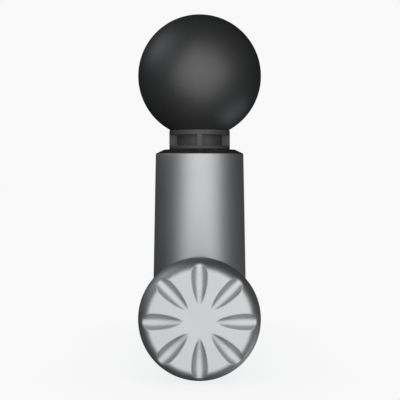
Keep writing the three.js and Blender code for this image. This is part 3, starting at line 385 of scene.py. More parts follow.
class Finish:
    """A material being built: its tree, its shader and the masks of the shared effects."""

    def __init__(self, name, grain_size, patch_size, wear=0.4, edge=0.0005, smudges=0.5, dust=0.15):
        material = bpy.data.materials.new(name + "_finish")
        MATERIALS[name] = material
        material.use_nodes = True
        self.tree = material.node_tree
        self.shader = self.tree.nodes["Principled BSDF"]
        grain = use(self.tree, GRAIN, {"Grain Size": grain_size, "Patch Size": patch_size})
        handling = use(self.tree, HANDLING, {"Smudges": smudges, "Dust": dust})
        self.height, self.patches = grain["Height"], grain["Patches"]
        self.smudge, self.dust = handling["Smudge Mask"], handling["Dust Mask"]
        self.wear = use(self.tree, EDGE_WEAR, {"Edge Width": edge, "Amount": wear})["Mask"]
        self.place = put(self.tree, "TexCoord").outputs["Object"]

    def patchy(self, shade, other_shade):
        return mixed(self.tree, masked(self.tree, self.patches, 0.3, 0.7), shade, other_shade)

    def cover(self, base, worn_shade, dust_shade=(0.45, 0.44, 0.42, 1)):
        """Puts the worn edges and then the dust over a colour."""
        worn = mixed(self.tree, self.wear, base, worn_shade)
        covered = mixed(self.tree, self.dust, worn, dust_shade)
        send(self.tree, covered, self.shader.inputs["Base Color"])

    def colour(self, shade, other_shade, worn_shade):
        """Patches of two shades, then the worn edges and the dust."""
        self.cover(self.patchy(shade, other_shade), worn_shade)

    def roughness(self, smooth, rough, worn=0.0):
        """Roughness from smooth to rough where it is smudged or dusty, less the polish of wear."""
        marked = worked(self.tree, "MAXIMUM", self.smudge, self.dust)
        base = between(self.tree, marked, smooth, rough)
        speckled = worked(self.tree, "ADD", base, worked(self.tree, "MULTIPLY", self.height, 0.04))
        less = worked(self.tree, "MULTIPLY", self.wear, -worn)
        total = worked(self.tree, "ADD", speckled, less, clamp=True)
        send(self.tree, total, self.shader.inputs["Roughness"])

    def bump(self, depth, strength=0.5, height=None):
        """Raises the surface by up to a depth in metres."""
        feeds = {"Height": height or self.height, "Distance": depth, "Strength": strength}
        send(self.tree, put(self.tree, "Bump", feeds).outputs[0], self.shader.inputs["Normal"])

    def turning_lines(self, depth, pitch, wobble):
        """Raises the rings that a lathe leaves, in place of the grain."""
        lines = use(self.tree, TURNING_LINES, {"Line Pitch": pitch, "Wobble": wobble})
        self.bump(depth, height=lines["Height"])

    def plain(self, **values):
        """Values that are the same all over, such as Metallic, by their socket's name."""
        for name, value in values.items():
            self.shader.inputs[name.replace("_", " ")].default_value = value


print("finish helpers ready")

# %% [markdown]
# ## The finishes that show: metal, foam and plastic
# The barrel, handle and knob are aluminium blasted with fine beads, which turns a mirror into a
# soft, wide glow: fully metallic, fairly rough, with a grain far too fine to see from a distance.
# The ball is dense foam with a closed skin, so it is dark and dull but still catches a broad
# gleam. The neck is moulded, and the cap and the ring have the finer texture of a spark-eroded
# mould.

# %% Finishes on the outside
satin = Finish("satin_metal", grain_size=0.00028, patch_size=0.03, wear=0.5, edge=0.0004, dust=0.05)
satin.colour(grey(0.60, -0.01), grey(0.64, -0.01), grey(0.82))
satin.roughness(0.52, 0.55, worn=0.1)
satin.bump(0.00002, strength=0.35)
satin.plain(Metallic=1.0)

foam = Finish("dark_foam", grain_size=0.0006, patch_size=0.018, wear=0.15, smudges=0.6, dust=0.1)
foam.colour(grey(0.026, -0.03), grey(0.034, -0.02), grey(0.06))
foam.roughness(0.46, 0.52)
pores = put(foam.tree, "TexVoronoi", {"Vector": foam.place, "Scale": 1400.0}).outputs["Distance"]
skin = worked(foam.tree, "ADD", worked(foam.tree, "MULTIPLY", pores, 0.6), foam.height)
foam.bump(0.00004, strength=0.4, height=skin)
foam.plain(IOR=1.9)

moulded = Finish("dark_plastic", grain_size=0.00035, patch_size=0.015, wear=0.5, edge=0.0004, dust=0.2)
moulded.colour(grey(0.072), grey(0.088), grey(0.15))
moulded.roughness(0.48, 0.58, worn=0.1)
moulded.bump(0.00004, strength=0.4)

black = Finish("black_plastic", grain_size=0.0003, patch_size=0.012, wear=0.5, edge=0.0004, dust=0.25)
black.colour(grey(0.021), grey(0.028), grey(0.07))
black.roughness(0.42, 0.55, worn=0.1)
black.bump(0.00004, strength=0.4)

print("outside finishes:", ", ".join(MATERIALS))

# %% [markdown]
# ## The finishes inside
# The mechanism has its own materials: turned and ground steel, a bronze-coloured brass, a casting
# that was never polished, wound copper, a lacquered circuit board with its tracks, cells in a
# shrunk plastic sleeve, magnets and straps in nickel, and soft rubber. Each gets the mark of the
# way it is made.

# %% Finishes of the mechanism
rubber = Finish("black_rubber", grain_size=0.0005, patch_size=0.008, wear=0.3, smudges=0.7, dust=0.5)
rubber.colour(grey(0.014), grey(0.024, 0.02), grey(0.05))
rubber.roughness(0.68, 0.85)
rubber.bump(0.00005)

casting = Finish("cast_alloy", grain_size=0.0007, patch_size=0.01, wear=0.7, edge=0.0006, dust=0.2)
casting.colour(grey(0.48), grey(0.56, 0.01), grey(0.82))
casting.roughness(0.5, 0.62, worn=0.2)
casting.bump(0.00012)
casting.plain(Metallic=1.0)

steel = Finish("bright_steel", grain_size=0.0004, patch_size=0.01, wear=0.4, dust=0.05)
steel.colour(grey(0.68), grey(0.74, 0.01), grey(0.9))
steel.roughness(0.16, 0.3, worn=0.05)
steel.turning_lines(0.00001, pitch=0.00012, wobble=0.3)
steel.plain(Metallic=1.0)

brass = Finish("brass", grain_size=0.0005, patch_size=0.008, wear=0.5, dust=0.1)
brass.colour((0.62, 0.42, 0.16, 1), (0.5, 0.3, 0.1, 1), (0.85, 0.66, 0.32, 1))
brass.roughness(0.24, 0.42, worn=0.08)
brass.turning_lines(0.00002, pitch=0.00022, wobble=0.4)
brass.plain(Metallic=1.0)

copper = Finish("copper_wire", grain_size=0.0006, patch_size=0.004, wear=0.2, dust=0.05)
copper.colour((0.56, 0.2, 0.075, 1), (0.42, 0.13, 0.05, 1), (0.8, 0.4, 0.2, 1))
copper.roughness(0.22, 0.35)
turns_of_wire = {"Vector": copper.place, "Scale": 700.0, "Distortion": 1.2, "Detail": 1.0}
wires = put(copper.tree, "TexWave", turns_of_wire, bands_direction="Y").outputs[1]
copper.bump(0.0002, strength=0.9, height=wires)
copper.plain(Metallic=1.0, Coat_Weight=0.6, Coat_Roughness=0.15)

board = Finish("board_green", grain_size=0.0008, patch_size=0.006, wear=0.4, dust=0.2)
layout = {"Vector": board.place, "Scale": 260.0, "Mortar Size": 0.06, "Mortar Smooth": 0.2,
          "Brick Width": 1.4, "Row Height": 0.5}
tracks = put(board.tree, "TexBrick", layout, offset=0.37, offset_frequency=3).outputs["Fac"]
base = board.patchy((0.012, 0.11, 0.045, 1), (0.018, 0.14, 0.06, 1))
board.cover(mixed(board.tree, tracks, base, (0.05, 0.24, 0.1, 1)), (0.5, 0.42, 0.25, 1), grey(0.4))
board.roughness(0.28, 0.45)
board.bump(0.00004, height=tracks)
board.plain(Coat_Weight=0.4)

sleeve = Finish("cell_wrap", grain_size=0.0012, patch_size=0.02, wear=0.3, edge=0.0008, dust=0.1)
sleeve.colour((0.02, 0.11, 0.19, 1), (0.025, 0.13, 0.22, 1), (0.1, 0.22, 0.3, 1))
sleeve.roughness(0.26, 0.42)
creases = noise(sleeve.tree, sleeve.place, 120.0, 1.0, Distortion=2.5)
sleeve.bump(0.00025, strength=0.4, height=creases)
sleeve.plain(Coat_Weight=0.5, Coat_Roughness=0.2)

nickel = Finish("nickel", grain_size=0.0006, patch_size=0.006, wear=0.3, dust=0.05)
nickel.colour(grey(0.6, 0.04), grey(0.68, 0.05), grey(0.85, 0.03))
nickel.roughness(0.26, 0.4, worn=0.06)
nickel.turning_lines(0.00002, pitch=0.0003, wobble=0.6)
nickel.plain(Metallic=1.0)

guide = Finish("light_guide", grain_size=0.0003, patch_size=0.004, wear=0.2, dust=0.1)
guide.colour((0.76, 0.8, 0.83, 1), (0.82, 0.85, 0.87, 1), (0.9, 0.92, 0.93, 1))
guide.roughness(0.3, 0.45)
guide.bump(0.00002)
guide.plain(Subsurface_Weight=0.3, Subsurface_Scale=0.002)

print("all finishes:", ", ".join(MATERIALS))

# %% [markdown]
# ## Modelling round parts by hand
# Nearly everything here was turned on a lathe or moulded round, so one way of working makes most
# of it: add a circle, then extrude it and resize it from point to point of an outline. That is
# what a person does in edit mode with E and S, and it keeps clean rings of faces that take a
# bevel well. An outline that comes back to its start makes a ring, and one that ends on the axis
# is closed there. Everything is deselected first, because the loaded parts are still selected.

# %% Helpers for modelling
ON_AXIS = 0.0002  # stands for a radius of nothing, until the points on the axis are merged
MERGE_DISTANCE = 0.000002


def pick(piece):
    """Makes one piece the selected and active one."""
    deselect_everything()
    piece.select_set(True)
    bpy.context.view_layer.objects.active = piece


def start_editing(piece):
    pick(piece)
    bpy.ops.object.mode_set(mode="EDIT")


def stop_editing():
    bpy.ops.object.mode_set(mode="OBJECT")


def settle_transform():
    bpy.ops.object.transform_apply(location=True, rotation=True, scale=True)


def extrude(rise):
    """Extrudes what is selected along Z by a distance in millimetres."""
    bpy.ops.mesh.extrude_region_move(TRANSFORM_OT_translate={"value": (0, 0, rise * MM)})


def resize(x, y, z, about=0):
    """Resizes what is selected about a point on the Z axis."""
    bpy.ops.transform.resize(value=(x, y, z), center_override=(0, 0, about * MM))


def face_outwards():
    """Selects all the faces and points them outwards."""
    bpy.ops.mesh.select_all(action="SELECT")
    bpy.ops.mesh.normals_make_consistent(inside=False)


def choose(wanted, kind="FACE"):
    """Selects the faces whose middle passes a test, or the edges whose two ends do."""
    bpy.ops.mesh.select_mode(type=kind)
    bpy.ops.mesh.select_all(action="DESELECT")
    mesh = bmesh.from_edit_mesh(bpy.context.object.data)
    if kind == "FACE":
        for face in mesh.faces:
            face.select_set(wanted(face.calc_center_median() / MM))
    else:
        for edge in mesh.edges:
            edge.select_set(all(wanted(corner.co / MM) for corner in edge.verts))
    bmesh.update_edit_mesh(bpy.context.object.data)


def turned(name, outline, sides=96):
    """Extrudes and resizes a circle along an outline of (radius, height) points about Z."""
    deselect_everything()
    radius, height = outline[0]
    radius = max(radius, ON_AXIS)
    bpy.ops.mesh.primitive_circle_add(vertices=sides, radius=radius * MM,
                                      location=(0, 0, height * MM))
    piece = bpy.context.object
    piece.name = name
    settle_transform()
    bpy.ops.object.mode_set(mode="EDIT")
    bpy.ops.mesh.select_mode(type="VERT")
    bpy.ops.mesh.select_all(action="SELECT")
    for next_radius, next_height in outline[1:]:
        next_radius = max(next_radius, ON_AXIS)
        extrude(next_height - height)
        share = next_radius / radius
        resize(share, share, 1)
        radius, height = next_radius, next_height
    bpy.ops.mesh.select_all(action="SELECT")
    bpy.ops.mesh.remove_doubles(threshold=MERGE_DISTANCE)
    face_outwards()
    stop_editing()
    return piece


def bend(centre_radius, centre_height, radius, start, end, steps):
    """Points of an arc for an outline, from one angle to another in degrees."""
    angles = [math.radians(start + (end - start) * i / steps) for i in range(steps + 1)]
    return [(centre_radius + radius * math.cos(angle), centre_height + radius * math.sin(angle))
            for angle in angles]


def evenly(start, end, rows):
    """Values from start to end in equal steps."""
    return [start + (end - start) * i / rows for i in range(rows + 1)]


def tube(name, radius_at, wall, rows, sides):
    """A tube whose radius follows a function of height, open at both ends."""
    outside = [(radius_at(height), height) for height in rows]
    inside = [(radius_at(height) - wall, height) for height in (rows[-1], rows[0])]
    return turned(name, outside + inside + outside[:1], sides=sides)


def apply_modifier(piece, kind, **settings):
    pick(piece)
    modifier = piece.modifiers.new(kind.title(), kind)
    for name, value in settings.items():
        setattr(modifier, name, value)
    bpy.ops.object.modifier_apply(modifier=modifier.name)


def soften(piece, width, steps=3, sharper_than=28):
    """Rounds every edge that is sharper than an angle, by a width in millimetres."""
    apply_modifier(piece, "BEVEL", width=width * MM, segments=steps, limit_method="ANGLE",
                   angle_limit=math.radians(sharper_than), use_clamp_overlap=True)


def shade(piece, sharper_than=35):
    """Shades a piece smooth, except across its sharp edges, and hands it back."""
    pick(piece)
    bpy.ops.object.shade_smooth_by_angle(angle=math.radians(sharper_than))
    return piece


def cut(piece, tool, operation="DIFFERENCE"):
    """Cuts a piece with a tool, or joins the tool to it, and throws the tool away."""
    apply_modifier(piece, "BOOLEAN", operation=operation, object=tool, solver="EXACT")
    bpy.data.objects.remove(tool)


def place_piece(piece, shift=(0, 0, 0), turn=(0, 0, 0)):
    """Turns a piece, in degrees, moves it, in millimetres, and settles both into its mesh."""
    pick(piece)
    piece.rotation_euler = [math.radians(angle) for angle in turn]
    piece.location = Vector(shift) * MM
    settle_transform()
    return piece


def along_handle(piece):
    """Lays a piece that was made along Z onto the handle's axis, pointing at the viewer."""
    return place_piece(piece, shift=(0, 0, HANDLE_HEIGHT), turn=(90, 0, 0))


def towards_back(piece, height):
    """Points a piece that was made along Z at the barrel's back, at a height."""
    return place_piece(piece, shift=(0, 0, height), turn=(-90, 0, 0))


def a_copy(piece, name):
    """A copy with a mesh of its own."""
    twin = piece.copy()
    twin.data = piece.data.copy()
    twin.name = name
    bpy.context.scene.collection.objects.link(twin)
    return twin


def box_tool(name, width, depth, height, middle=0):
    """A box round the Z axis, with its middle at a height."""
    deselect_everything()
    bpy.ops.mesh.primitive_cube_add(size=MM, location=(0, 0, middle * MM))
    tool = bpy.context.object
    tool.name = name
    tool.scale = (width, depth, height)
    settle_transform()
    return tool


def settle(piece, body, slot, *nodes):
    """Gives a finished piece its finish, its body, and the parts of the frame it stands for."""
    piece.data.materials.clear()
    piece.data.materials.append(MATERIALS[slot])
    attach(piece, body)
    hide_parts(*nodes)
    piece.data.calc_loop_triangles()
    print(f"{piece.name}: {len(piece.data.loop_triangles)} triangles, rides on {body}")
    return piece


print("modelling helpers ready")

# %% [markdown]
# ## The ball
# The head that touches the body is a ball of dense foam with a socket below. A globe made of
# rings has a pinched point at the top, where a softbox shows every flaw. A cube whose faces are
# divided and then pulled onto a sphere has no such point, so that is the start. A cut across the
# bottom, pushed inwards, makes the socket that the neck's peg fills.

# %% Ball
PEG_RADIUS = 8
PEG_TOP = 112
FIT = 0.3  # clearance between pieces that touch
BALL_CUTS = 47  # into how many strips each face of the cube is divided, less one


def make_ball():
    deselect_everything()
    bpy.ops.mesh.primitive_cube_add(size=2 * BALL_RADIUS * MM)
    ball = bpy.context.object
    ball.name = "foam_ball"
    mouth = PEG_RADIUS + FIT
    mouth_height = -math.sqrt(BALL_RADIUS ** 2 - mouth ** 2)
    start_editing(ball)
    bpy.ops.mesh.select_all(action="SELECT")
    bpy.ops.mesh.subdivide(number_cuts=BALL_CUTS)
    bpy.ops.transform.tosphere(value=1.0)
    stop_editing()
    reach = max(corner.co.length for corner in ball.data.vertices) / MM
    start_editing(ball)
    bpy.ops.mesh.select_all(action="SELECT")
    share = BALL_RADIUS / reach
    resize(share, share, share)
    bpy.ops.mesh.bisect(plane_co=(0, 0, mouth_height * MM), plane_no=(0, 0, 1), use_fill=True,
                        clear_inner=True)
    choose(lambda middle: middle.z < mouth_height + 0.01)
    extrude(PEG_TOP + FIT - BALL_CENTRE - mouth_height)
    face_outwards()
    stop_editing()
    place_piece(ball, shift=(0, 0, BALL_CENTRE))
    return shade(ball, 40)


ball = settle(make_ball(), "head", "dark_foam", "head_ball")

# %% [markdown]
# ## The neck
# The ball sits on a moulded neck: a short drum with four windows between narrow ribs, on a stem
# that plugs into the plunger. Its stem has a groove for the O-ring. The windows are pushed in
# from the drum's own faces, which is how a mould's sliding cores would leave them, and then all
# edges are rounded a little.

# %% Neck and O-ring
NECK_RADIUS = neck_high.x
NECK_DRUM_FOOT = 90.12
WINDOW_FOOT = 91.8
WINDOW_TOP = 97.05
NECK_CORE_RADIUS = 10.8
RIB_HALF_ANGLE = 5  # in degrees, seen from the axis
WINDOW_PITCH = 90  # in degrees, from rib to rib
STEM_RADIUS = 7
GROOVE_RADIUS = 5.9
GROOVE_MIDDLE = 79
GROOVE_HALF = 1.1


def in_a_window(middle):
    """True for a face of the drum between two ribs."""
    outside = from_axis(middle) > NECK_CORE_RADIUS
    half = WINDOW_PITCH / 2
    from_rib = (math.degrees(math.atan2(middle.y, middle.x)) + half) % WINDOW_PITCH - half
    return outside and WINDOW_FOOT < middle.z < WINDOW_TOP and abs(from_rib) > RIB_HALF_ANGLE


def make_neck():
    foot = neck_low.z
    groove_foot, groove_top = GROOVE_MIDDLE - GROOVE_HALF, GROOVE_MIDDLE + GROOVE_HALF
    seat = BALL_RADIUS + FIT
    edge_angle = -math.degrees(math.acos(NECK_RADIUS / seat))
    peg_angle = -math.degrees(math.acos(PEG_RADIUS / seat))
    neck = turned("ball_neck", [
        (0, foot), (STEM_RADIUS - 1, foot), (STEM_RADIUS, foot + 1),
        (STEM_RADIUS, groove_foot), (GROOVE_RADIUS, groove_foot),
        (GROOVE_RADIUS, groove_top), (STEM_RADIUS, groove_top),
        (STEM_RADIUS, NECK_DRUM_FOOT), (NECK_RADIUS, NECK_DRUM_FOOT), (NECK_RADIUS, WINDOW_FOOT),
        (NECK_RADIUS, WINDOW_TOP), *bend(0, BALL_CENTRE, seat, edge_angle, peg_angle, 8),
        (PEG_RADIUS, PEG_TOP), (0, PEG_TOP)], sides=144)
    start_editing(neck)
    choose(in_a_window)
    bpy.ops.mesh.extrude_region_move()
    share = NECK_CORE_RADIUS / NECK_RADIUS
    resize(share, share, 1)
    stop_editing()
    soften(neck, 0.22, sharper_than=35)
    return shade(neck)


def make_o_ring():
    thickness = STEM_RADIUS + 0.1 - GROOVE_RADIUS
    deselect_everything()
    bpy.ops.mesh.primitive_torus_add(
        location=(0, 0, GROOVE_MIDDLE * MM), major_segments=72, minor_segments=20,
        major_radius=(GROOVE_RADIUS + thickness / 2) * MM, minor_radius=thickness / 2 * MM)
    ring = bpy.context.object
    ring.name = "stem_o_ring"
    start_editing(ring)
    flash = GROOVE_RADIUS + 0.95 * thickness  # the fine line that the mould's halves leave
    choose(lambda middle: from_axis(middle) > flash)
    resize(1.004, 1.004, 0.9, about=GROOVE_MIDDLE)
    stop_editing()
    settle_transform()
    return shade(ring)


settle(make_neck(), "head", "dark_plastic", "head_neck")
settle(make_o_ring(), "head", "black_rubber", "head_o_ring")

# %% [markdown]
# ## The barrel and its ends
# The barrel is a drawn tube with a slight taper. Its wall has real thickness, because its front
# edge shows as a bright line against the black ring. The holes for the handle, the button and
# the lights are cut after the tube is made, with tools that open out at the skin, so that each
# hole gets a small countersink and no sharp edge.

# %% Barrel tube
BARREL_WALL = 1.7
JUNCTION_HOLE_RADIUS = 14.6
TOOL_START = 10  # distance from the axis where a hole tool begins
TOOL_FLARE = 2  # how far a hole tool opens out past the skin
BUTTON_HEIGHT = middle_of("power_button").z
BUTTON_RADIUS = 5.5
LIGHTS = ["status_light_1", "status_light_2", "status_light_3", "status_light_4"]
LIGHT_HEIGHTS = [middle_of(light).z for light in LIGHTS]
LIGHT_RADIUS = 0.9


def hole_tool(radius, height, countersink=0.25, sides=64):
    """A tool along Z that opens out where it meets the barrel's skin."""
    start = barrel_radius(height) - countersink
    return turned("hole_tool", [
        (0, TOOL_START), (radius, TOOL_START), (radius, start),
        (radius + TOOL_FLARE, start + TOOL_FLARE), (0, start + TOOL_FLARE)], sides=sides)


def make_barrel():
    heights = evenly(BARREL_FOOT, BARREL_TOP, 22)
    barrel = tube("barrel_tube_skin", barrel_radius, BARREL_WALL, heights, sides=160)
    soften(barrel, 0.3, steps=4, sharper_than=60)
    cut(barrel, along_handle(hole_tool(JUNCTION_HOLE_RADIUS, HANDLE_HEIGHT)))
    cut(barrel, towards_back(hole_tool(BUTTON_RADIUS + FIT, BUTTON_HEIGHT), BUTTON_HEIGHT))
    for height in LIGHT_HEIGHTS:
        tool = hole_tool(LIGHT_RADIUS + 0.2, height, countersink=0.15, sides=32)
        cut(barrel, towards_back(tool, height))
    return shade(barrel, 30)


settle(make_barrel(), "housing", "satin_metal", "barrel_tube")

# %% [markdown]
# ## The front ring and the dust seal
# A black moulded ring closes the front. Its wide chamfer leads the eye from the metal in to the
# neck. The rubber lip below it wipes the plunger, so it is drawn with a thin, leaning edge.

# %% Front ring and dust seal
RING_TOP = 90
RING_FLAT_RADIUS = 17.3
RING_OUTER_RADIUS = barrel_radius(BARREL_TOP) - 0.15
RING_CHAMFER_FOOT = BARREL_TOP + 0.02
SEAL_POCKET_RADIUS = 15.4
SEAL_FOOT = 84.6
SEAL_TOP = 87


def make_front_ring():
    mouth = plunger_high.x + 0.7
    spigot = barrel_radius(BARREL_TOP) - BARREL_WALL - FIT
    ring = turned("front_ring_cover", [
        (mouth, SEAL_TOP + FIT), (SEAL_POCKET_RADIUS, SEAL_TOP + FIT), (SEAL_POCKET_RADIUS, SEAL_FOOT),
        (spigot, SEAL_FOOT), (spigot, RING_CHAMFER_FOOT), (RING_OUTER_RADIUS, RING_CHAMFER_FOOT),
        (RING_OUTER_RADIUS, RING_CHAMFER_FOOT + 0.12), (RING_FLAT_RADIUS, RING_TOP),
        (mouth, RING_TOP), (mouth, SEAL_TOP + FIT)], sides=144)
    soften(ring, 0.2, sharper_than=20)
    return shade(ring)


def make_dust_seal():
    lip = plunger_high.x + FIT
    outer = SEAL_POCKET_RADIUS - FIT
    seal = turned("dust_seal_lip", [
        (lip, SEAL_TOP - 0.6), (lip + 0.7, SEAL_FOOT), (outer, SEAL_FOOT), (outer, SEAL_TOP),
        (lip + 1.6, SEAL_TOP), (lip + 1.1, SEAL_TOP - 0.9), (lip + 0.3, SEAL_TOP - 0.2),
        (lip, SEAL_TOP - 0.6)], sides=96)
    soften(seal, 0.12, sharper_than=40)
    return shade(seal)


settle(make_front_ring(), "housing", "black_plastic", "front_ring")
settle(make_dust_seal(), "housing", "black_rubber", "dust_seal")

# %% [markdown]
# ## The rear cap and its screws
# The object stands on this cap. It has a rounded rim, a shallow dish inside the rim so that only
# a ring of it touches the table, eight slots that let the motor's warm air out, and three sunk
# screws. The slot's tool is made once, with round ends, and copied round the axis.

# %% Rear cap
CAP_HEIGHT = 3
CAP_RIM = 1.2
CAP_SPIGOT_TOP = 9
VENTS = 8
VENT_INNER, VENT_OUTER = 7.5, 12.5
VENT_WIDTH = 1.6
RECESS_RADIUS = 2.2
RECESS_DEPTH = 1.8
SCREW_HOLE_RADIUS = 1.3
DISH_RADIUS = 14
DISH_DEPTH = 0.25
SPIGOT_WALL = 1.8
CAP_SCREWS = ["cap_screw_1", "cap_screw_2", "cap_screw_3"]


def ring_of(tool, count, first_angle):
    """Copies of a tool round the Z axis, joined into one."""
    tools = [tool] + [a_copy(tool, f"tool_{i}") for i in range(1, count)]
    for i, each in enumerate(tools):
        place_piece(each, turn=(0, 0, first_angle + 360 * i / count))
    deselect_everything()
    for each in tools:
        each.select_set(True)
    bpy.context.view_layer.objects.active = tool
    bpy.ops.object.join()
    return tool


def rounded_bar(name, width, height, corner, foot, top):
    """A bar along Z whose long edges are rounded."""
    bar = box_tool(name, width, height, top - foot, middle=(foot + top) / 2)
    start_editing(bar)
    bpy.ops.mesh.select_mode(type="EDGE")
    mesh = bmesh.from_edit_mesh(bar.data)
    for edge in mesh.edges:
        edge.select_set(abs(edge.verts[0].co.z - edge.verts[1].co.z) > MM)
    bmesh.update_edit_mesh(bar.data)
    bpy.ops.mesh.bevel(offset=corner * MM, segments=8, affect="EDGES")
    stop_editing()
    return bar


def slot_tool():
    """A bar with round ends that lies along X, for cutting one vent."""
    bar = rounded_bar("slot_tool", VENT_OUTER - VENT_INNER, VENT_WIDTH, 0.49 * VENT_WIDTH, -6, 6)
    return place_piece(bar, shift=((VENT_INNER + VENT_OUTER) / 2, 0, 0))


def make_rear_cap():
    outer = barrel_radius(CAP_HEIGHT) - 0.2
    spigot = barrel_radius(CAP_SPIGOT_TOP) - BARREL_WALL - FIT
    cap = turned("rear_cap_cover", [
        (0, DISH_DEPTH), (DISH_RADIUS, DISH_DEPTH), (DISH_RADIUS + 0.4, 0),
        *bend(outer - CAP_RIM, CAP_RIM, CAP_RIM, -90, 0, 8),
        (outer, CAP_HEIGHT), (spigot, CAP_HEIGHT), (spigot, CAP_SPIGOT_TOP),
        (spigot - SPIGOT_WALL, CAP_SPIGOT_TOP), (spigot - SPIGOT_WALL, CAP_HEIGHT), (0, CAP_HEIGHT)],
        sides=144)
    cut(cap, ring_of(slot_tool(), VENTS, 180 / VENTS))
    for node in CAP_SCREWS:
        recess = turned("recess", [
            (0, -1), (RECESS_RADIUS + 0.3, -1), (RECESS_RADIUS, 0.35), (RECESS_RADIUS, RECESS_DEPTH),
            (SCREW_HOLE_RADIUS, RECESS_DEPTH), (SCREW_HOLE_RADIUS, 6), (0, 6)], sides=48)
        cut(cap, place_piece(recess, shift=(*middle_of(node).xy, 0)))
    return shade(cap, 30)


settle(make_rear_cap(), "housing", "black_plastic", "rear_cap")

# %% [markdown]
# ## Screws
# A pan-head screw is a low dome with a cross recess and a thread below. The thread is a row of
# sharp rings rather than a true spiral: at this size nobody can tell, and it stays a clean closed
# shape. It is modelled once, and each of the three gets a copy.

# %% Cap screws


def make_screw(name, head_radius, head_height, shank_radius, length, pitch=0.5):
    """A screw with its head's face at z = 0 and its shank upwards."""
    thread = []
    root = shank_radius * 0.84
    height = head_height + 0.3
    while height + pitch < length - 0.6:
        thread += [(root, height), (shank_radius, height + pitch / 2)]
        height += pitch
    body = turned(name, [
        (0, 0), (head_radius * 0.55, 0.02), (head_radius * 0.86, 0.14), (head_radius, 0.42),
        (head_radius, head_height), (shank_radius, head_height), *thread,
        (root, length - 0.5), (0, length)], sides=40)
    for turn in (0, 90):
        blade = box_tool("cross_blade", head_radius * 1.15, 0.42, 1.6)
        start_editing(blade)
        choose(lambda middle: middle.z > 0.7)
        resize(0.45, 0.7, 1)
        stop_editing()
        cut(body, place_piece(blade, turn=(0, 0, turn)))
    return shade(body, 30)


screw = make_screw("cap_screw_model", head_radius=1.9, head_height=1.2, shank_radius=1.0, length=6.5)
for node in CAP_SCREWS:
    copy = a_copy(screw, node.replace("cap_screw", "rear_screw"))
    place_piece(copy, shift=(*middle_of(node).xy, spans(node)[0].z))
    settle(copy, "housing", "bright_steel", node)
bpy.data.objects.remove(screw)

# %% [markdown]
# ## The power button and its lights
# On the barrel's back sits one round button, slightly dished for a fingertip, with a fine groove
# round its edge, and above it four pinhead lights that show the charge. Each light is the rounded
# end of a clear guide that carries light from the board inside.

# %% Power button and status lights
button_low, button_high = spans("power_button")
BUTTON_FACE = button_high.y
BUTTON_FLANGE = button_low.y
BUTTON_DISH = 0.5
BUTTON_DISH_RADIUS = 4.2
LIGHT_FLANGE_RADIUS = 1.5
LIGHT_ROUNDING = 0.3


def make_power_button():
    face = BUTTON_FACE
    flange_radius = button_high.x
    dish = [(radius, face - BUTTON_DISH * (1 - (radius / BUTTON_DISH_RADIUS) ** 2))
            for radius in (BUTTON_DISH_RADIUS, 3.4, 2.6, 1.8, 0.9, 0)]
    button = turned("power_button_cap", [
        (0, BUTTON_FLANGE), (flange_radius, BUTTON_FLANGE), (flange_radius, BUTTON_FLANGE + 1),
        (BUTTON_RADIUS, BUTTON_FLANGE + 1), (BUTTON_RADIUS, face - 0.6),
        *bend(BUTTON_RADIUS - 0.5, face - 0.5, 0.5, 0, 90, 5), (4.7, face), (4.6, face - 0.25),
        (4.3, face - 0.25), *dish], sides=96)
    soften(button, 0.06, steps=2, sharper_than=50)
    towards_back(button, BUTTON_HEIGHT)
    return shade(button)


def make_status_light(number, height):
    low, high = spans(LIGHTS[number])
    flange, tip = low.y + 3, high.y
    start = tip - LIGHT_ROUNDING
    light = turned(f"charge_light_{number + 1}", [
        (0, low.y), (LIGHT_FLANGE_RADIUS, low.y), (LIGHT_FLANGE_RADIUS, flange),
        (LIGHT_RADIUS, flange), (LIGHT_RADIUS, start),
        *bend(LIGHT_RADIUS - LIGHT_ROUNDING, start, LIGHT_ROUNDING, 0, 90, 4)[1:],
        (0, tip)], sides=32)
    towards_back(light, height)
    return shade(light)


settle(make_power_button(), "button", "black_plastic", "power_button")
for number, height in enumerate(LIGHT_HEIGHTS):
    settle(make_status_light(number, height), "housing", "light_guide", LIGHTS[number])

# %% [markdown]
# ## The plunger
# When the ball is pulled off, or at the top of its stroke, the ground steel plunger shows. It is
# a hollow piston: a deep skirt that the connecting rod swings in, and a socket above for the
# neck's stem, with a lead-in chamfer so that the O-ring slides in.

# %% Plunger
SOCKET_FLOOR = 72.6
SKIRT_ROOF = 70.4
SKIRT_WALL = 1.5
LEAD_IN = 0.6


def make_plunger():
    radius, foot, top = plunger_high.x, plunger_low.z, plunger_high.z
    skirt = radius - SKIRT_WALL
    bore = STEM_RADIUS + FIT
    piston = turned("piston", [
        (0, SKIRT_ROOF), (skirt - 1.5, SKIRT_ROOF), (skirt, SKIRT_ROOF - 1.5), (skirt, foot),
        (radius, foot), (radius, top - 0.5), (radius - 0.5, top), (bore + LEAD_IN, top),
        (bore, top - 0.8), (bore, SOCKET_FLOOR), (0, SOCKET_FLOOR)], sides=96)
    soften(piston, 0.15, sharper_than=30)
    return shade(piston)


settle(make_plunger(), "plunger", "bright_steel", "plunger")

# %% [markdown]
# ## The handle
# The handle is a cone that widens towards the knob. Its root has to fit the barrel's curved skin,
# so it is made too long and then cut back with the barrel itself, grown by the fitting gap. The
# cut leaves the saddle-shaped joint that a machinist would mill. The charging socket's opening
# is cut with a rounded tool.

# %% Handle shell
HANDLE_WALL = 1.8
HANDLE_CUT_START = 14  # reach at which the shell begins before it is cut back
HANDLE_ROOT = 21  # reach at which the root's radius is measured
HANDLE_ROOT_RADIUS = 16.2
KNOB_START = 97
KNOB_RIM = 101.4  # reach at which the knob is widest
PORT_WIDTH, PORT_HEIGHT = 9.2, 3.6
PORT_REACH = -middle_of("usb_port").y


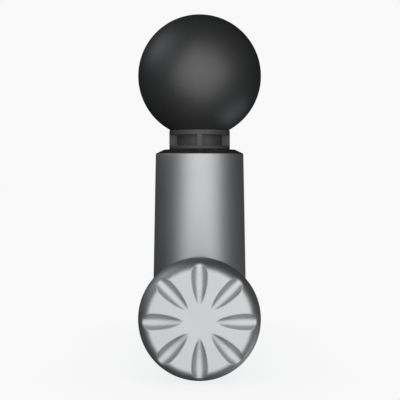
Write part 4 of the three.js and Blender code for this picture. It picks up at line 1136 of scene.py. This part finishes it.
def handle_radius(reach):
    flare = (KNOB_RADIUS - HANDLE_ROOT_RADIUS) / (KNOB_RIM - HANDLE_ROOT)
    return HANDLE_ROOT_RADIUS + flare * (reach - HANDLE_ROOT)


def make_handle_shell():
    reaches = evenly(HANDLE_CUT_START, KNOB_START - FIT, 20)
    shell = tube("handle_shell_skin", handle_radius, HANDLE_WALL, reaches, sides=144)
    along_handle(shell)
    low, high = -20, 80  # the saddle tool's ends, well past the handle
    saddle = turned("saddle_tool", [(0, low), (barrel_radius(low) + FIT, low),
                                    (barrel_radius(high) + FIT, high), (0, high)], sides=288)
    cut(shell, saddle)
    opening = rounded_bar("port_opening", PORT_WIDTH + 2 * FIT, PORT_HEIGHT + 2 * FIT, 1.95, -30, -10)
    cut(shell, place_piece(opening, shift=(0, -PORT_REACH, HANDLE_HEIGHT)))
    soften(shell, 0.25, steps=3, sharper_than=55)
    return shade(shell, 30)


settle(make_handle_shell(), "housing", "satin_metal", "handle_shell")

# %% [markdown]
# ## The charging socket
# A small oval steel shell with a tongue inside, sunk in the underside of the handle just before
# the knob. The shell is pushed in from its own end face, which gives it a wall and a floor.

# %% Charging socket
PORT_SUNK = 0.4
PORT_DEPTH = 6.5
PORT_WALL = 0.45
PORT_FLOOR = 0.8


def make_port():
    mouth = PORT_SUNK - handle_radius(PORT_REACH)
    back = mouth + PORT_DEPTH
    shell = rounded_bar("charging_socket", PORT_WIDTH, PORT_HEIGHT, 1.75, mouth, back)
    start_editing(shell)
    choose(lambda middle: middle.z < mouth + 0.01)
    bpy.ops.mesh.inset(thickness=PORT_WALL * MM)
    extrude(PORT_DEPTH - PORT_FLOOR)
    face_outwards()
    stop_editing()
    tongue = rounded_bar("tongue", 6.4, 0.7, 0.2, mouth + 0.8, back - PORT_FLOOR / 2)
    cut(shell, tongue, operation="UNION")
    soften(shell, 0.08, steps=2, sharper_than=50)
    place_piece(shell, shift=(0, -PORT_REACH, HANDLE_HEIGHT))
    return shade(shell)


settle(make_port(), "housing", "bright_steel", "usb_port")

# %% [markdown]
# ## The fluted knob
# The knob is what the eye meets first. Eight scoops run out from its middle: each begins as a
# point, widens, and runs off over the rounded rim. Cutting them with a tool would leave knife
# edges, but blasted metal has soft ones. So the knob's face is made of many fine rings, and each
# point is given a weight that says how deep a scoop is there. A Displace modifier then sinks the
# face by those weights, as a weight-painted surface would be sunk. Where the scoop and the face
# meet, the two depths are blended over a short width, and that blend is the soft edge.

# %% Knob
KNOB_WALL = 2.4
BORE_RADIUS = 2.6  # of the hole in the knob's boss, where the encoder's shaft goes
BOSS_RADIUS = 4.4
KNOB_SIDES = 384
FACE_RINGS = 44
ROUNDING_WIDTH = 5.0  # the rim is a quarter of an ellipse, deeper than it is wide
ROUNDING_DEPTH = KNOB_FACE - KNOB_RIM
FLAT_EDGE = KNOB_RADIUS - ROUNDING_WIDTH
FLUTES = 8
FLUTE_TIP = 6.3  # distance of a scoop's tip from the knob's middle
FLUTE_WIDEST = 17.6
FLUTE_OUTER = 24
FLUTE_HALF_WIDTH = 2.85
FLUTE_BLUNTNESS = 0.62  # 1 gives a long sharp tip, and less gives a rounder one
FLUTE_FLATNESS = 2.5  # 2 gives a round floor, and more gives a flatter one with steeper sides
FLUTE_DEPTH = 1.75
FLUTE_EXTRA_DEPTH = 0.5  # how much further the floor sinks from the widest place outwards
TIP_SLOPE = 0.6
SOFT_EDGE = 0.8  # difference in depth over which scoop and face are blended
DEEPEST = 4.0  # the depth that a weight of 1 stands for


def rounding_depth(radius):
    """How far the rounded rim has fallen below the flat face."""
    share = max(0.0, radius - FLAT_EDGE) / ROUNDING_WIDTH
    return ROUNDING_DEPTH * (1 - math.sqrt(max(0.0, 1 - share ** 2)))


def scoop_at(along, across):
    """A scoop's depth and the softness of its edge, at a place along and across its middle."""
    share = min(1.0, max(0.0, (along - FLUTE_TIP) / (FLUTE_WIDEST - FLUTE_TIP)))
    grown = max(0.01, math.sin(math.pi / 2 * share))
    softness = SOFT_EDGE * (0.2 + 0.8 * grown)
    if along < FLUTE_TIP:
        return -TIP_SLOPE * math.hypot(FLUTE_TIP - along, across), softness
    past = max(0.0, (along - FLUTE_WIDEST) / (FLUTE_OUTER - FLUTE_WIDEST))
    half_width = FLUTE_HALF_WIDTH * grown ** FLUTE_BLUNTNESS * math.cos(0.85 * past)
    floor = FLUTE_DEPTH * grown + FLUTE_EXTRA_DEPTH * past ** 2
    beside = abs(across / half_width)
    if beside > 1:
        return floor * FLUTE_FLATNESS * (1 - beside), softness
    return floor * (1 - beside ** FLUTE_FLATNESS), softness


def depth_at(x, y):
    """Depth of the finished face below its flat, with the scoops blended in."""
    radius = math.hypot(x, y)
    pitch = 2 * math.pi / FLUTES
    turn = (math.atan2(y, x) + pitch / 2) % pitch - pitch / 2
    face = rounding_depth(radius)
    scoop, softness = scoop_at(radius * math.cos(turn), radius * math.sin(turn))
    overlap = max(0.0, 1 - abs(face - scoop) / softness)
    return max(face, scoop) + overlap ** 2 * softness / 4


def make_knob():
    collar = handle_radius(KNOB_START)
    face = [(FLAT_EDGE * (1 - i / FACE_RINGS), KNOB_FACE) for i in range(FACE_RINGS)]
    rim = [(FLAT_EDGE + ROUNDING_WIDTH * across, KNOB_RIM + ROUNDING_DEPTH * along)
           for across, along in bend(0, 0, 1, 0, 90, 30)]
    bore_floor = KNOB_FACE - 4
    boss_end = KNOB_FACE - 8
    hollow = KNOB_FACE - 5.4
    inner = KNOB_RADIUS - KNOB_WALL
    knob = turned("fluted_knob", [
        (BORE_RADIUS, bore_floor), (BORE_RADIUS, boss_end), (BOSS_RADIUS, boss_end),
        (BOSS_RADIUS, hollow), (inner - 5, hollow), (inner - 1, KNOB_FACE - 7),
        (collar - KNOB_WALL, KNOB_START), (collar - 0.35, KNOB_START), (collar - 0.1, KNOB_START + 0.1),
        (collar, KNOB_START + 0.35), *rim[:-1], *face, (0, KNOB_FACE)], sides=KNOB_SIDES)
    start_editing(knob)
    choose(lambda corner: from_axis(corner) < BORE_RADIUS + 0.01
           and abs(corner.z - bore_floor) < 0.01, kind="EDGE")
    bpy.ops.mesh.edge_face_add()
    face_outwards()
    stop_editing()
    weights = knob.vertex_groups.new(name="scoops")
    for corner in knob.data.vertices:
        x, y, z = corner.co / MM
        radius = math.hypot(x, y)
        if z > KNOB_RIM and radius < KNOB_RADIUS - 0.01:
            sunk = depth_at(x, y) - rounding_depth(radius)
            weights.add([corner.index], sunk / DEEPEST, "REPLACE")
    apply_modifier(knob, "DISPLACE", direction="Z", mid_level=0.0, strength=-DEEPEST * MM,
                   vertex_group="scoops")
    knob.vertex_groups.clear()
    along_handle(knob)
    return shade(knob, 40)


settle(make_knob(), "dial", "satin_metal", "end_knob")

# %% [markdown]
# ## Finishes for the mechanism
# The parts inside keep the frame's own shapes, since they are hidden unless the object is opened.
# Each still gets the finish it is made of, because a cutaway or a pulled-off head shows them.

# %% Finishes of the parts that stay
WEARS = {
    "cast_alloy": ["connecting_rod", "crank_disc", "drive_frame", "motor_base"],
    "bright_steel": ["rod_bearing", "wrist_pin", "pin_clip", "motor_shaft", "motor_front_bearing",
                     "motor_rear_bearing", "motor_screw_1", "motor_screw_2", "motor_screw_3",
                     "motor_screw_4", "encoder_shaft"],
    "brass": ["guide_sleeve", "counterweight"],
    "nickel": ["stator_core", "rotor_magnets", "cell_strap"],
    "copper_wire": ["stator_windings"],
    "black_plastic": ["tact_switch", "rotor_bell", "cell_holder_front", "cell_holder_rear",
                      "speed_encoder"],
    "dark_plastic": ["junction_ring"],
    "black_rubber": ["damper_ring_rear", "damper_ring_front"],
    "board_green": ["button_board", "control_board"],
    "cell_wrap": ["battery_cell_1", "battery_cell_2", "battery_cell_3"],
}

for slot, nodes in WEARS.items():
    for node in nodes:
        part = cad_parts[node]
        part.data.materials.clear()
        part.data.materials.append(MATERIALS[slot])
bare = [name for name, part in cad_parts.items()
        if not part.hide_render and part.data.materials[0] not in MATERIALS.values()]
print("parts still without a finish:", bare)
